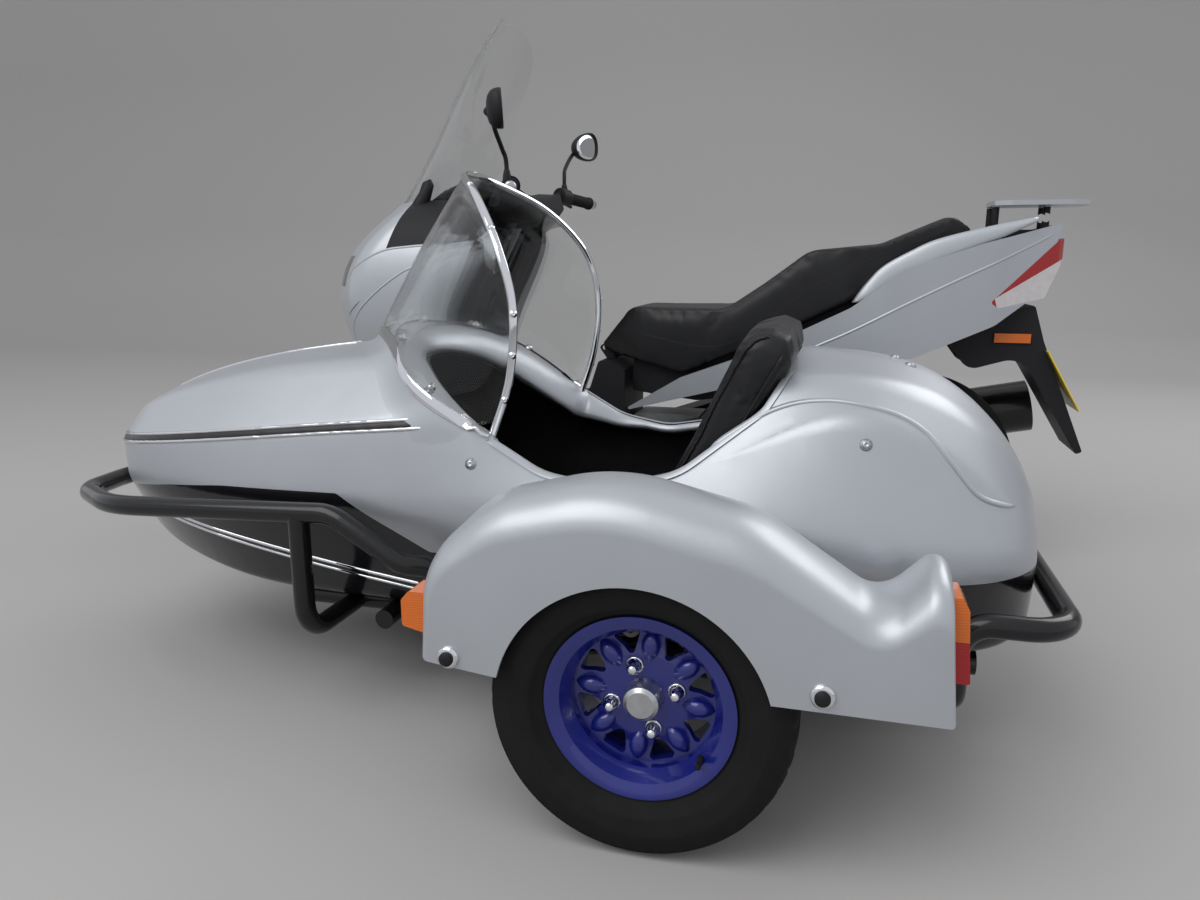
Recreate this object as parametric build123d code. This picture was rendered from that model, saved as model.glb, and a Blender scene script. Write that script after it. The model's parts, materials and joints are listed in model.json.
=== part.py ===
from build123d import *
import math
import os

# Touring scooter with a single-seat sidecar on its left side.
# Lengths are millimetres. While the model is drawn, x = 0 is the rear axle of the scooter,
# y = 0 its centre plane and z = 0 the floor; the nose points to -X and the sidecar lies at -Y.
# At the end everything moves so that the origin is under the middle of the whole outfit.

# Driving dimensions of the scooter
WHEELBASE = 1585.0
FRONT_TYRE_RADIUS = 274.0
FRONT_TYRE_WIDTH = 120.0
FRONT_RIM_RADIUS = 178.0
REAR_TYRE_RADIUS = 270.0
REAR_TYRE_WIDTH = 150.0
REAR_RIM_RADIUS = 165.0
RAKE = 28.0
TRAIL = 100.0
GRIP_HALF_SPAN = 372.0
GRIP_HEIGHT = 1050.0
SCREEN_TOP = 1525.0
PANEL_WALL = 6.0
FRAME_TUBE = 38.0
FIT_GAP = 0.4

# Driving dimensions of the sidecar
TRACK = 1414.0
WHEEL_LEAD = 466.0
SIDE_TYRE_RADIUS = 224.5
SIDE_TYRE_WIDTH = 195.0
SIDE_RIM_RADIUS = 127.0
SIDE_FLANGE_RADIUS = 141.0
SIDE_RIM_WIDTH = 152.0
BODY_OFFSET = 911.0
BODY_WALL = 10.0
SCREEN_SHEET = 4.0
HOOP_BAR = 13.0
BUMPER_TUBE = 38.0
RAIL_TUBE = 42.0
RAIL_HEIGHT = 168.0
MUDGUARD_WALL = 6.0
MUDGUARD_FACE = 1532.0
MUDGUARD_INNER = 1262.0
ARCH_RADIUS = 199.0

# Directions and places worked out from them
FRONT_AXLE = Vector(-WHEELBASE, 0, FRONT_TYRE_RADIUS)
REAR_AXLE = Vector(0, 0, REAR_TYRE_RADIUS)
SIDE_AXLE = Vector(-WHEEL_LEAD, -TRACK, SIDE_TYRE_RADIUS)
RAKE_SLOPE = math.tan(math.radians(RAKE))


def steering_x(height):
    """Place of the steering axis at a height."""
    return -WHEELBASE - TRAIL + height * RAKE_SLOPE


# Helpers
def cylinder_y(x, z, radius, y_from, y_to):
    """Round bar across the machine."""
    return extrude(Plane((x, y_from, z), x_dir=(1, 0, 0), z_dir=(0, 1, 0)) * Circle(radius), y_to - y_from)


def rod(start, end, radius):
    """Round bar from one point to another."""
    start = Vector(*start)
    end = Vector(*end)
    direction = end - start
    return extrude(Plane(start, z_dir=direction) * Circle(radius), direction.length)


def bent_tube(points, bend, diameter):
    """Tube along straight runs joined by bends."""
    if len(points) == 2:
        return rod(points[0], points[1], diameter / 2)
    path = FilletPolyline(*points, radius=bend)
    profile = Plane(path @ 0, z_dir=path % 0) * Circle(diameter / 2)
    return sweep(profile, path=path)


def side_outline(points, radius):
    """Closed outline in a side view, given as x and z, with rounded corners."""
    outline = FilletPolyline(*[(x, 0, z) for x, z in points], radius=radius, close=True)
    return make_face(outline)


def slab(points, radius, y_from, y_to):
    """A side outline made solid between two planes across the machine."""
    face = Pos(0, y_from, 0) * side_outline(points, radius)
    return extrude(face, y_to - y_from, dir=(0, 1, 0))


def plan_slab(points, radius, z_from, z_to):
    """A plan outline, given as x and y, made solid between two heights."""
    outline = FilletPolyline(*[(x, y) for x, y in points], radius=radius, close=True)
    return extrude(Pos(0, 0, z_from) * make_face(outline), z_to - z_from, dir=(0, 0, 1))


def cheek(start, end, half, y_from, y_to):
    """Flat lug between two points of a side view, given as x and z, with rounded ends."""
    run = Vector(end[0] - start[0], 0, end[1] - start[1]).normalized()
    side = Vector(run.Z, 0, -run.X) * half
    low = Vector(start[0], 0, start[1]) - run * half
    high = Vector(end[0], 0, end[1]) + run * half
    corners = [(point.X, point.Z) for point in (low - side, high - side, high + side, low + side)]
    return slab(corners, half * 0.8, y_from, y_to)


def both_sides(part):
    """A part and its twin on the other side of the scooter."""
    return [part, mirror(part, Plane.XZ)]


def ring_profile(points):
    """Closed outline of a turned part, given as radius and place along the axle."""
    return make_face(Polyline(*[(radius, across) for radius, across in points], close=True))


def turned(points, axle):
    """A part of revolution about an axle that runs across the machine."""
    face = Plane((0, 0, 0), x_dir=(0, 0, 1), z_dir=(-1, 0, 0)) * ring_profile(points)
    return Pos(axle) * revolve(face, Axis.Y, 360)


NODES = {}


def keep(name, *shapes):
    """Name a sub-part and collect its solids."""
    solids = []
    for shape in shapes:
        solids.extend(shape.solids())
    NODES[name] = solids


# Tyres
FRONT_BEAD_HALF = 40.0
REAR_BEAD_HALF = 51.0
SIDE_BEAD_HALF = SIDE_RIM_WIDTH / 2 - 8.5
BEAD_GAP = 1.2
TYRE_WALL = 12.0
# Columns: name, axle, outer radius, width, rim seat radius, bead half width, crown share
TYRES = [
    ("front_tyre", FRONT_AXLE, FRONT_TYRE_RADIUS, FRONT_TYRE_WIDTH, FRONT_RIM_RADIUS, FRONT_BEAD_HALF, 0.30),
    ("rear_tyre", REAR_AXLE, REAR_TYRE_RADIUS, REAR_TYRE_WIDTH, REAR_RIM_RADIUS, REAR_BEAD_HALF, 0.26),
    ("sidecar_tyre", SIDE_AXLE, SIDE_TYRE_RADIUS, SIDE_TYRE_WIDTH, SIDE_RIM_RADIUS, SIDE_BEAD_HALF, 0.06),
]


def tyre(axle, radius, width, seat, bead_half, crown):
    """Tyre casing whose beads sit on the rim between its flanges."""
    half = width / 2
    wall = TYRE_WALL
    bead = seat + BEAD_GAP
    height = radius - seat
    shoulder = radius - height * crown
    outer = [
        (bead, bead_half),
        (bead + 15, bead_half),
        (seat + height * 0.45, half),
        (shoulder - 8, half * 0.97),
        (shoulder, half * 0.86),
        (radius - height * crown * 0.18, half * 0.45),
        (radius, 0),
    ]
    inner = [
        (bead, bead_half - wall),
        (bead + 15, bead_half - wall),
        (seat + height * 0.45, half - wall),
        (radius - wall - height * crown, half * 0.80),
        (radius - wall, 0),
    ]
    profile = outer + [(r, -y) for r, y in reversed(outer[:-1])] + [(r, -y) for r, y in inner[:-1]]
    profile = profile + [(r, y) for r, y in reversed(inner)]
    return turned(profile, axle)


for name, axle, radius, width, seat, bead_half, crown in TYRES:
    keep(name, tyre(axle, radius, width, seat, bead_half, crown))


# Wheels
def spoked_wheel(axle, seat, bead_half, hub_radius, hub_half, bore, spokes, spoke_width):
    """Cast wheel: rim barrel, hub and straight spokes."""
    half = bead_half + FIT_GAP + 4
    lip = seat + 13
    barrel = turned(
        [
            (seat - 8, -half), (seat - 8, -half * 0.4), (seat - 14, 0), (seat - 8, half * 0.4),
            (seat - 8, half), (lip, half), (lip, half - 4), (seat, half - 4),
            (seat, -half + 4), (lip, -half + 4), (lip, -half),
        ],
        axle,
    )
    hub = turned([(bore, -hub_half), (hub_radius, -hub_half), (hub_radius, hub_half), (bore, hub_half)], axle)
    wheel = barrel + hub
    reach = seat - 9 - hub_radius * 0.5
    for index in range(spokes):
        spoke = Box(reach, spoke_width, spoke_width * 1.1)
        spoke = Pos(hub_radius * 0.5 + reach / 2, 0, 0) * spoke
        wheel += Pos(axle) * Rot(0, 360 / spokes * index + 90, 0) * spoke
    return wheel


def brake_disc(axle, radius, across, bore):
    """Brake disc with a ring of vent holes."""
    disc = turned([(bore, across - 2), (radius, across - 2), (radius, across + 2), (bore, across + 2)], axle)
    for index in range(12):
        angle = math.radians(30 * index)
        x = axle.X + math.cos(angle) * (radius - 18)
        z = axle.Z + math.sin(angle) * (radius - 18)
        disc -= cylinder_y(x, z, 5, axle.Y + across - 3, axle.Y + across + 3)
    return disc


FRONT_AXLE_RADIUS = 8.0
REAR_AXLE_RADIUS = 10.0
FRONT_HUB_HALF = 42.0
REAR_HUB_HALF = 50.0
FRONT_DISC_RADIUS = 130.0
DISC_ACROSS = 52.0
front_wheel = spoked_wheel(
    FRONT_AXLE, FRONT_RIM_RADIUS, FRONT_BEAD_HALF, 34, FRONT_HUB_HALF, FRONT_AXLE_RADIUS + FIT_GAP, 5, 30
)
rear_wheel = spoked_wheel(
    REAR_AXLE, REAR_RIM_RADIUS, REAR_BEAD_HALF, 40, REAR_HUB_HALF, REAR_AXLE_RADIUS + FIT_GAP, 5, 34
)
keep("front_wheel", front_wheel)
keep("rear_wheel", rear_wheel)
front_discs = [
    brake_disc(FRONT_AXLE, FRONT_DISC_RADIUS, side * DISC_ACROSS, 34.0) for side in (-1, 1)
]
disc_carriers = [
    turned(
        [
            (FRONT_AXLE_RADIUS + FIT_GAP, side * FRONT_HUB_HALF), (FRONT_AXLE_RADIUS + FIT_GAP, side * (DISC_ACROSS + 2)),
            (34.0, side * (DISC_ACROSS + 2)), (34.0, side * FRONT_HUB_HALF),
        ],
        FRONT_AXLE,
    )
    for side in (-1, 1)
]
keep("front_brake_discs", *[disc + carrier for disc, carrier in zip(front_discs, disc_carriers)])


# Sidecar wheel with eight petal spokes
SPOKES = 8
HUB_FACE = -SIDE_RIM_WIDTH / 2 + 44
HUB_BACK = HUB_FACE + 16
AXLE_STUB_RADIUS = 14.0
STUD_RADIUS = 50.8


def petal_wheel():
    half = SIDE_RIM_WIDTH / 2
    seat = SIDE_RIM_RADIUS
    barrel = turned(
        [
            (seat - 7, -half + 8), (seat - 20, -half + 30), (seat - 20, half - 40), (seat - 7, half - 12),
            (SIDE_FLANGE_RADIUS - 5, half), (SIDE_FLANGE_RADIUS, half), (SIDE_FLANGE_RADIUS, half - 5),
            (seat + 1, half - 8), (seat, half - 12), (seat, half - 34), (seat - 14, half - 42),
            (seat - 14, -half + 36), (seat, -half + 26), (seat, -half + 12), (seat + 1, -half + 8),
            (SIDE_FLANGE_RADIUS, -half + 5), (SIDE_FLANGE_RADIUS, -half), (SIDE_FLANGE_RADIUS - 5, -half),
        ],
        SIDE_AXLE,
    )
    disc = turned(
        [
            (AXLE_STUB_RADIUS + 8, HUB_FACE), (62, HUB_FACE), (82, HUB_FACE + 6), (seat - 17, HUB_FACE + 2),
            (seat - 17, HUB_FACE + 14), (82, HUB_FACE + 20), (62, HUB_BACK), (AXLE_STUB_RADIUS + 8, HUB_BACK),
        ],
        SIDE_AXLE,
    )
    # Windows between the spokes, each a rounded triangle near the barrel
    window = make_face(FilletPolyline((62, 0), (103, 24), (103, -24), radius=6, close=True))
    window = extrude(window, 60, both=True)
    petal_profile = make_face(ThreePointArc((54, 0), (80, 14.5), (106, 0)) + Line((106, 0), (54, 0)))
    petal = revolve(petal_profile, Axis.X, 360)
    wheel = barrel + disc
    across = Plane((SIDE_AXLE.X, SIDE_AXLE.Y, SIDE_AXLE.Z), x_dir=(1, 0, 0), z_dir=(0, -1, 0))
    for index in range(SPOKES):
        turn = 360 / SPOKES * index
        wheel -= across.location * Rot(0, 0, turn - 6 + 180 / SPOKES) * window
        wheel += across.location * Rot(0, 0, turn - 6) * Pos(0, 0, -HUB_FACE - 4) * petal
    return wheel


sidecar_rim = petal_wheel()
keep("sidecar_rim", sidecar_rim)
grease_cap = turned(
    [
        (0, HUB_FACE - 30), (20, HUB_FACE - 30), (26, HUB_FACE - 26), (28, HUB_FACE - 6),
        (30, HUB_FACE - FIT_GAP), (0, HUB_FACE - FIT_GAP),
    ],
    SIDE_AXLE,
)
hub_shell = turned(
    [
        (AXLE_STUB_RADIUS + 0.5, HUB_BACK + FIT_GAP), (60, HUB_BACK + FIT_GAP), (60, HUB_BACK + 12),
        (38, HUB_BACK + 16), (38, HUB_BACK + 60), (AXLE_STUB_RADIUS + 0.5, HUB_BACK + 60),
    ],
    SIDE_AXLE,
)
nuts = []
for index in range(4):
    angle = math.radians(16.5 + 90 * index)
    place = Vector(
        SIDE_AXLE.X + STUD_RADIUS * math.cos(angle), SIDE_AXLE.Y, SIDE_AXLE.Z + STUD_RADIUS * math.sin(angle)
    )
    nuts.append(
        turned([(0, HUB_FACE - 14), (9, HUB_FACE - 14), (9.5, HUB_FACE - FIT_GAP), (0, HUB_FACE - FIT_GAP)], place)
    )
keep("sidecar_hub", grease_cap, hub_shell, *nuts)


# Sidecar body
# Columns: x, then half width and height of floor edge, waist, gunwale and shoulder, then crown height
BODY_SECTIONS = [
    (-1768, 38, 374, 60, 402, 62, 448, 34, 470, 478),
    (-1742, 72, 326, 108, 394, 110, 458, 66, 504, 518),
    (-1680, 108, 270, 178, 392, 180, 476, 110, 540, 564),
    (-1540, 158, 220, 268, 398, 265, 500, 162, 588, 618),
    (-1360, 205, 196, 315, 405, 302, 524, 190, 632, 658),
    (-1100, 232, 192, 332, 415, 316, 553, 200, 668, 692),
    (-910, 238, 192, 336, 420, 316, 572, 205, 690, 716),
    (-780, 242, 192, 337, 415, 298, 560, 205, 700, 735),
    (-430, 242, 192, 337, 395, 264, 515, 200, 640, 728),
    (-200, 240, 192, 330, 385, 262, 600, 180, 660, 692),
    (-60, 230, 194, 312, 380, 245, 560, 165, 630, 662),
    (50, 200, 202, 264, 372, 212, 480, 130, 550, 583),
    (108, 155, 224, 192, 365, 155, 428, 92, 478, 500),
    (128, 105, 262, 128, 350, 106, 390, 58, 420, 436),
]


def body_section(row, wall):
    """Cross-section of the sidecar body, set in from the outside by a wall."""
    x, floor_y, floor_z, waist_y, waist_z, gunwale_y, gunwale_z, shoulder_y, shoulder_z, crown_z = row
    half = [
        (floor_y - wall * 0.8, floor_z + wall), (waist_y - wall, waist_z), (gunwale_y - wall, gunwale_z),
        (shoulder_y - wall * 0.6, shoulder_z - wall),
    ]
    points = [(0, crown_z - wall)] + half[::-1] + [(-y, z) for y, z in half]
    size = min(floor_y, (crown_z - floor_z) / 2) - wall
    floor_r, waist_r, gunwale_r, shoulder_r, crown_r = [size * share for share in (0.20, 0.5, 0.25, 0.5, 1.2)]
    outline = FilletPolyline(
        *[(x, -BODY_OFFSET + y, z) for y, z in points],
        radius=[crown_r, shoulder_r, gunwale_r, waist_r, floor_r, floor_r, waist_r, gunwale_r, shoulder_r],
        close=True,
    )
    return make_face(outline)


def body_loft(rows, wall):
    return loft([body_section(row, wall) for row in rows])


body_outer = body_loft(BODY_SECTIONS, 0)
inner_rows = [row for row in BODY_SECTIONS if -1760 < row[0] < 112]
body_inner = body_loft(inner_rows, BODY_WALL)

# Cockpit rim in side view: the hood's rear edge, the dip beside the seat and the boot's front edge
RIM = [
    (-985, 900), (-985, 712), (-800, 552), (-700, 494), (-590, 474), (-470, 500), (-335, 606), (-275, 706), (-275, 900),
]
RIM_BENDS = [4, 40, 90, 140, 140, 120, 60, 30, 4]
cockpit_cut = slab(RIM, RIM_BENDS, -BODY_OFFSET - 400, -BODY_OFFSET + 400)

# Parting between the silver body and the black hull
PARTING = [
    (-1800, 340), (-1620, 393), (-1480, 416), (-1340, 430), (-1085, 436), (-920, 327), (160, 353), (160, 100), (-1800, 100),
]
PARTING_BENDS = [1, 400, 400, 600, 14, 14, 1, 1, 1]
hull_zone = slab(PARTING, PARTING_BENDS, -BODY_OFFSET - 400, -BODY_OFFSET + 400)

body_wall = body_outer - body_inner
sidecar_body = body_wall - cockpit_cut - hull_zone
sidecar_hull = body_wall & hull_zone
keep("sidecar_body", sidecar_body)
keep("sidecar_hull", sidecar_hull)

BODY_FLOOR = 192.0
FLOOR_TOP = BODY_FLOOR + BODY_WALL + 0.3

# Sidecar seat: a cushion on the floor and a backrest hinged at its foot over the luggage space
SEAT_HALF = 196.0
SEAT_FRONT = -930.0
SEAT_BACK = -575.0
SEAT_TOP = 335.0
seat_pad = slab(
    [(SEAT_FRONT, FLOOR_TOP), (SEAT_FRONT, SEAT_TOP), (SEAT_BACK, SEAT_TOP - 25), (SEAT_BACK, FLOOR_TOP)],
    [12, 30, 20, 12],
    -BODY_OFFSET - SEAT_HALF,
    -BODY_OFFSET + SEAT_HALF,
)
keep("sidecar_seat", seat_pad)
BACKREST_HINGE = Vector(-520, -BODY_OFFSET, 322)
BACKREST_HALF = 222.0
BACKREST = [(-562, 345), (-350, 742), (-286, 736), (-470, 385), (-520, 300)]
backrest = slab(
    BACKREST, [15, 26, 20, 40, 15], -BODY_OFFSET - BACKREST_HALF, -BODY_OFFSET + BACKREST_HALF
)
# Hinge bar across the hull through the foot of the backrest
HINGE_BAR = 9.0
backrest_bar = cylinder_y(
    BACKREST_HINGE.X, BACKREST_HINGE.Z, HINGE_BAR, -BODY_OFFSET - 400, -BODY_OFFSET + 400
)
backrest_bar = backrest_bar & body_loft(inner_rows, BODY_WALL + 0.3)
backrest -= cylinder_y(
    BACKREST_HINGE.X, BACKREST_HINGE.Z, HINGE_BAR + FIT_GAP, -BODY_OFFSET - 400, -BODY_OFFSET + 400
)
keep("backrest", backrest)
keep("backrest_bar", backrest_bar)

# Windscreen hoop and base rail, as points from the foot to the middle
# Columns: x, half width, height
HOOP = [(-797, 296, 552), (-753, 297, 730), (-800, 262, 905), (-902, 130, 1010)]
BASE_RAIL = [(-800, 306, 560), (-960, 262, 640), (-1095, 140, 706)]


def mirrored_path(points, radius):
    """Path over both halves of the body from points of the near half."""
    near = [(x, -BODY_OFFSET - half, z) for x, half, z in points]
    far = [(x, -BODY_OFFSET + half, z) for x, half, z in reversed(points)]
    return FilletPolyline(*near, *far, radius=radius)


hoop_path = mirrored_path(HOOP, 95)
rail_path = mirrored_path(BASE_RAIL, 120)


def bar_on(path, diameter):
    return sweep(Plane(path @ 0, z_dir=path % 0) * Circle(diameter / 2), path=path)


screen_frame = bar_on(hoop_path, HOOP_BAR) + bar_on(rail_path, HOOP_BAR)
screen_frame = screen_frame - body_outer
keep("screen_frame", screen_frame)
SHEET_STEPS = 14


def screen_strip(share):
    """Section of the bent sheet between the rail and the hoop."""
    low = rail_path @ share
    high = hoop_path @ share
    along = (high - low).normalized()
    ahead = rail_path % share
    out = ahead.cross(along).normalized() * (SCREEN_SHEET / 2)
    start = low + along * (HOOP_BAR / 2 + FIT_GAP)
    end = high - along * (HOOP_BAR / 2 + FIT_GAP)
    return make_face(Polyline(start - out, end - out, end + out, start + out, close=True))


shares = [0.10 + 0.80 * index / SHEET_STEPS for index in range(SHEET_STEPS + 1)]
sheet = loft([screen_strip(share) for share in shares])
keep("sidecar_windscreen", sheet - body_outer - screen_frame)


# Sidecar chassis: two rails under the hull, joined by cross tubes
RAIL_OFFSET = 165.0
RAIL_FRONT = -1250.0
RAIL_REAR = 40.0
BUMPER_CROSS = -1145.0
FRONT_CROSS = -1040.0
LEG_CROSS = -880.0
PIVOT_CROSS = -WHEEL_LEAD - 330
TOWER_CROSS = -WHEEL_LEAD + 60
REAR_CROSS = -15.0
CROSS_PLACES = (BUMPER_CROSS, FRONT_CROSS, LEG_CROSS, PIVOT_CROSS, TOWER_CROSS, REAR_CROSS)
chassis = None
for side in (-1, 1):
    rail = rod(
        (RAIL_FRONT, -BODY_OFFSET + side * RAIL_OFFSET, RAIL_HEIGHT),
        (RAIL_REAR, -BODY_OFFSET + side * RAIL_OFFSET, RAIL_HEIGHT),
        RAIL_TUBE / 2,
    )
    chassis = rail if chassis is None else chassis + rail
CROSS_REACH = 262.0
for x in CROSS_PLACES:
    chassis += cylinder_y(x, RAIL_HEIGHT, RAIL_TUBE / 2 - 2, -BODY_OFFSET - CROSS_REACH, -BODY_OFFSET + CROSS_REACH)

# Pads on the rails under the hull
PAD_RADIUS = 14.0
PAD_PLACES = (-1090.0, -640.0, -240.0)
for x in PAD_PLACES:
    for side in (-1, 1):
        y = -BODY_OFFSET + side * RAIL_OFFSET
        chassis += rod((x, y, RAIL_HEIGHT), (x, y, BODY_FLOOR - 0.6), PAD_RADIUS)

# Suspension arm: pivot on the second cross tube, trailing back to the stub axle
ARM_Y = -BODY_OFFSET - 330
ARM_PIVOT = Vector(-WHEEL_LEAD - 330, ARM_Y, RAIL_HEIGHT)
ARM_RADIUS = 20.0
arm = rod(ARM_PIVOT, (SIDE_AXLE.X, ARM_Y, SIDE_AXLE.Z), ARM_RADIUS)
arm += cylinder_y(ARM_PIVOT.X, ARM_PIVOT.Z, 30, ARM_Y - 30, ARM_Y + 30)
PIVOT_PIN = 12.0
STAY_TUBE = 22.0
FRONT_STAY = (-736.0, 293.0)
REAR_STAY = (-214.0, 303.0)
arm -= cylinder_y(ARM_PIVOT.X, ARM_PIVOT.Z, PIVOT_PIN + FIT_GAP, ARM_Y - 40, ARM_Y + 40)
arm += cylinder_y(SIDE_AXLE.X, SIDE_AXLE.Z, 30, ARM_Y - 24, ARM_Y + 24)
arm += cylinder_y(SIDE_AXLE.X, SIDE_AXLE.Z, AXLE_STUB_RADIUS, -TRACK + HUB_FACE + 2, ARM_Y)
DAMPER_Y = -BODY_OFFSET - 380
DAMPER_FOOT = Vector(SIDE_AXLE.X - 54, DAMPER_Y, SIDE_AXLE.Z + 40)
DAMPER_TOP = Vector(TOWER_CROSS, DAMPER_Y, 455)
arm += rod(DAMPER_FOOT + Vector(0, 23, 0), (DAMPER_FOOT.X, ARM_Y, SIDE_AXLE.Z - 10), 9)
arm += cylinder_y(DAMPER_FOOT.X, DAMPER_FOOT.Z, 7, DAMPER_Y - 16, DAMPER_Y + 26)
keep("suspension_arm", arm)
chassis_pivot = cylinder_y(
    ARM_PIVOT.X, ARM_PIVOT.Z, RAIL_TUBE / 2 - 2, ARM_Y + 30 + FIT_GAP, -BODY_OFFSET - CROSS_REACH + 1
)
chassis += chassis_pivot
chassis += bent_tube(
    [
        (TOWER_CROSS, -BODY_OFFSET - CROSS_REACH, RAIL_HEIGHT), (TOWER_CROSS, DAMPER_Y + 30, RAIL_HEIGHT),
        (TOWER_CROSS, DAMPER_Y + 30, DAMPER_TOP.Z - 18),
    ],
    36,
    22,
)
chassis += cylinder_y(DAMPER_TOP.X, DAMPER_TOP.Z, 7, DAMPER_Y - 16, DAMPER_Y + 32)
chassis += rod((TOWER_CROSS, DAMPER_Y + 30, DAMPER_TOP.Z - 40), (TOWER_CROSS, DAMPER_Y + 30, DAMPER_TOP.Z + 8), 10)
# Pivot pin through the arm, and the two stays that reach the mudguard's outer face
stay_end = -MUDGUARD_FACE + MUDGUARD_WALL + 0.3
chassis += cylinder_y(ARM_PIVOT.X, ARM_PIVOT.Z, PIVOT_PIN, -1301, ARM_Y + 32)
chassis += bent_tube(
    [
        (ARM_PIVOT.X, -1285, RAIL_HEIGHT), (ARM_PIVOT.X, -1320, RAIL_HEIGHT), (FRONT_STAY[0], -1360, FRONT_STAY[1]),
        (FRONT_STAY[0], stay_end, FRONT_STAY[1]),
    ],
    [22, 40],
    STAY_TUBE,
)
chassis += bent_tube(
    [
        (TOWER_CROSS, DAMPER_Y + 30, REAR_STAY[1] - 12), (REAR_STAY[0], DAMPER_Y + 30, REAR_STAY[1]),
        (REAR_STAY[0], stay_end, REAR_STAY[1]),
    ],
    36,
    STAY_TUBE,
)
keep("sidecar_chassis", chassis)


def damper(foot, top, body_radius, spring_radius, coils):
    """Spring and damper unit: eyes, body, rod and a coil spring as stacked rings."""
    foot = Vector(*foot)
    top = Vector(*top)
    line = top - foot
    length = line.length
    upright = Plane(foot, z_dir=line)
    unit = extrude(upright * Circle(body_radius), length * 0.62)
    unit += extrude(upright.offset(length * 0.6) * Circle(body_radius * 0.5), length * 0.4)
    for share in (0.16, 0.88):
        unit += extrude(upright.offset(length * share) * Circle(spring_radius + 3), 5)
    for index in range(coils):
        height = length * (0.20 + 0.66 * (index + 0.5) / coils)
        ring = Torus(spring_radius - 3, 4.2)
        unit += upright.location * Pos(0, 0, height) * ring
        unit += extrude(upright.offset(height - 2) * Circle(spring_radius - 2), 4)
    for point in (foot, top):
        unit += cylinder_y(point.X, point.Z, 15, point.Y - 14, point.Y + 14)
        unit -= cylinder_y(point.X, point.Z, 7 + FIT_GAP, point.Y - 16, point.Y + 16)
    return unit


sidecar_damper = damper(DAMPER_FOOT, DAMPER_TOP, 9, 14, 7)

# Front and rear bumper tubes
BUMPER_SIDE = 361.0
BUMPER_FRONT = -1790.0
BUMPER_FRONT_HEIGHT = 362.0
BUMPER_HEIGHT = 407.0
BUMPER_LOW = 322.0
REAR_BAR = 152.0
REAR_BAR_HEIGHT = 303.0


def both_body_sides(points):
    """Points of the near half followed by the far half, over the middle of the sidecar body."""
    near = [(x, -BODY_OFFSET - half, z) for x, half, z in points]
    far = [(x, -BODY_OFFSET + half, z) for x, half, z in reversed(points)]
    return near + far


front_bumper = bent_tube(
    both_body_sides(
        [
            (LEG_CROSS, CROSS_REACH + FIT_GAP, RAIL_HEIGHT), (LEG_CROSS, 328, RAIL_HEIGHT), (LEG_CROSS, 328, BUMPER_LOW - 6),
            (-940, BUMPER_SIDE, BUMPER_LOW), (-1078, BUMPER_SIDE, BUMPER_HEIGHT),
            (-1560, BUMPER_SIDE, 388), (-1735, 240, 374), (BUMPER_FRONT, 90, BUMPER_FRONT_HEIGHT),
        ]
    ),
    [30, 50, 60, 80, 200, 150, 120, 120, 150, 200, 80, 60, 50, 30],
    BUMPER_TUBE,
)
for side in (-1, 1):
    y = -BODY_OFFSET + side * BUMPER_SIDE
    front_bumper += bent_tube(
        [
            (BUMPER_CROSS, y, BUMPER_HEIGHT), (BUMPER_CROSS, y, RAIL_HEIGHT),
            (BUMPER_CROSS, -BODY_OFFSET + side * (CROSS_REACH + FIT_GAP), RAIL_HEIGHT),
        ],
        60,
        BUMPER_TUBE,
    )
REAR_BAR_HALF = 326.0
rear_bumper = bent_tube(
    both_body_sides(
        [
            (REAR_CROSS, CROSS_REACH + FIT_GAP, RAIL_HEIGHT), (REAR_CROSS, REAR_BAR_HALF, RAIL_HEIGHT),
            (REAR_CROSS, REAR_BAR_HALF, REAR_BAR_HEIGHT), (REAR_BAR, REAR_BAR_HALF, REAR_BAR_HEIGHT),
        ]
    ),
    [30, 50, 70, 70, 50, 30],
    BUMPER_TUBE,
)
keep("bumper_bars", front_bumper, rear_bumper)

# Mudguard over the sidecar wheel: profiles from the rounded outer face to the inner edge
MUDGUARD_BENDS = [4, 110, 150, 300, 200, 45, 18, 4, 4, 4]
# Columns: place across, drop of the crown below its full height, drop of the tail's peak
MUDGUARD_ROWS = [
    (-MUDGUARD_FACE, 62, 70), (-1525, 38, 44), (-1503, 15, 18), (-1460, 1, 2), (-1430, 0, 0), (-1390, 9, 14),
    (-1340, 26, 44), (-1300, 42, 72), (-MUDGUARD_INNER, 58, 98),
]


def mudguard_profile(y, drop, tail, wall):
    """Side outline of the mudguard at a place across it, set in by a wall."""
    below = 0 if wall == 0 else 80
    points = [
        (-792 + drop * 0.3 + wall, 282 - below), (-790 + drop * 0.5 + wall, 424 - drop * 0.3 - wall * 0.5),
        (-686 + drop * 0.3 + wall * 0.5, 521 - drop * 0.9 - wall), (-510, 564 - drop - wall),
        (-310, 517 - drop - wall), (-146, 408 - (drop + tail) * 0.35 - wall), (-66 - wall * 0.4, 495 - tail - wall * 2),
        (-48 - drop * 0.08 - wall, 279 - below), (-274, 280 - below), (-666, 270 - below),
    ]
    return Pos(0, y, 0) * side_outline(points, MUDGUARD_BENDS)


mudguard_outer = loft([mudguard_profile(y, drop, tail, 0) for y, drop, tail in MUDGUARD_ROWS])
mudguard_inner = loft(
    [
        mudguard_profile(
            max(y, -MUDGUARD_FACE + MUDGUARD_WALL) + (1 if y > -MUDGUARD_INNER - 1 else 0), drop, tail, MUDGUARD_WALL
        )
        for y, drop, tail in MUDGUARD_ROWS
        if y != -1525
    ]
)
arch = cylinder_y(-470, SIDE_AXLE.Z, ARCH_RADIUS, -MUDGUARD_FACE - 5, -MUDGUARD_INNER + 5)
mudguard = mudguard_outer - mudguard_inner - arch - chassis
keep("sidecar_mudguard", mudguard)

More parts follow.
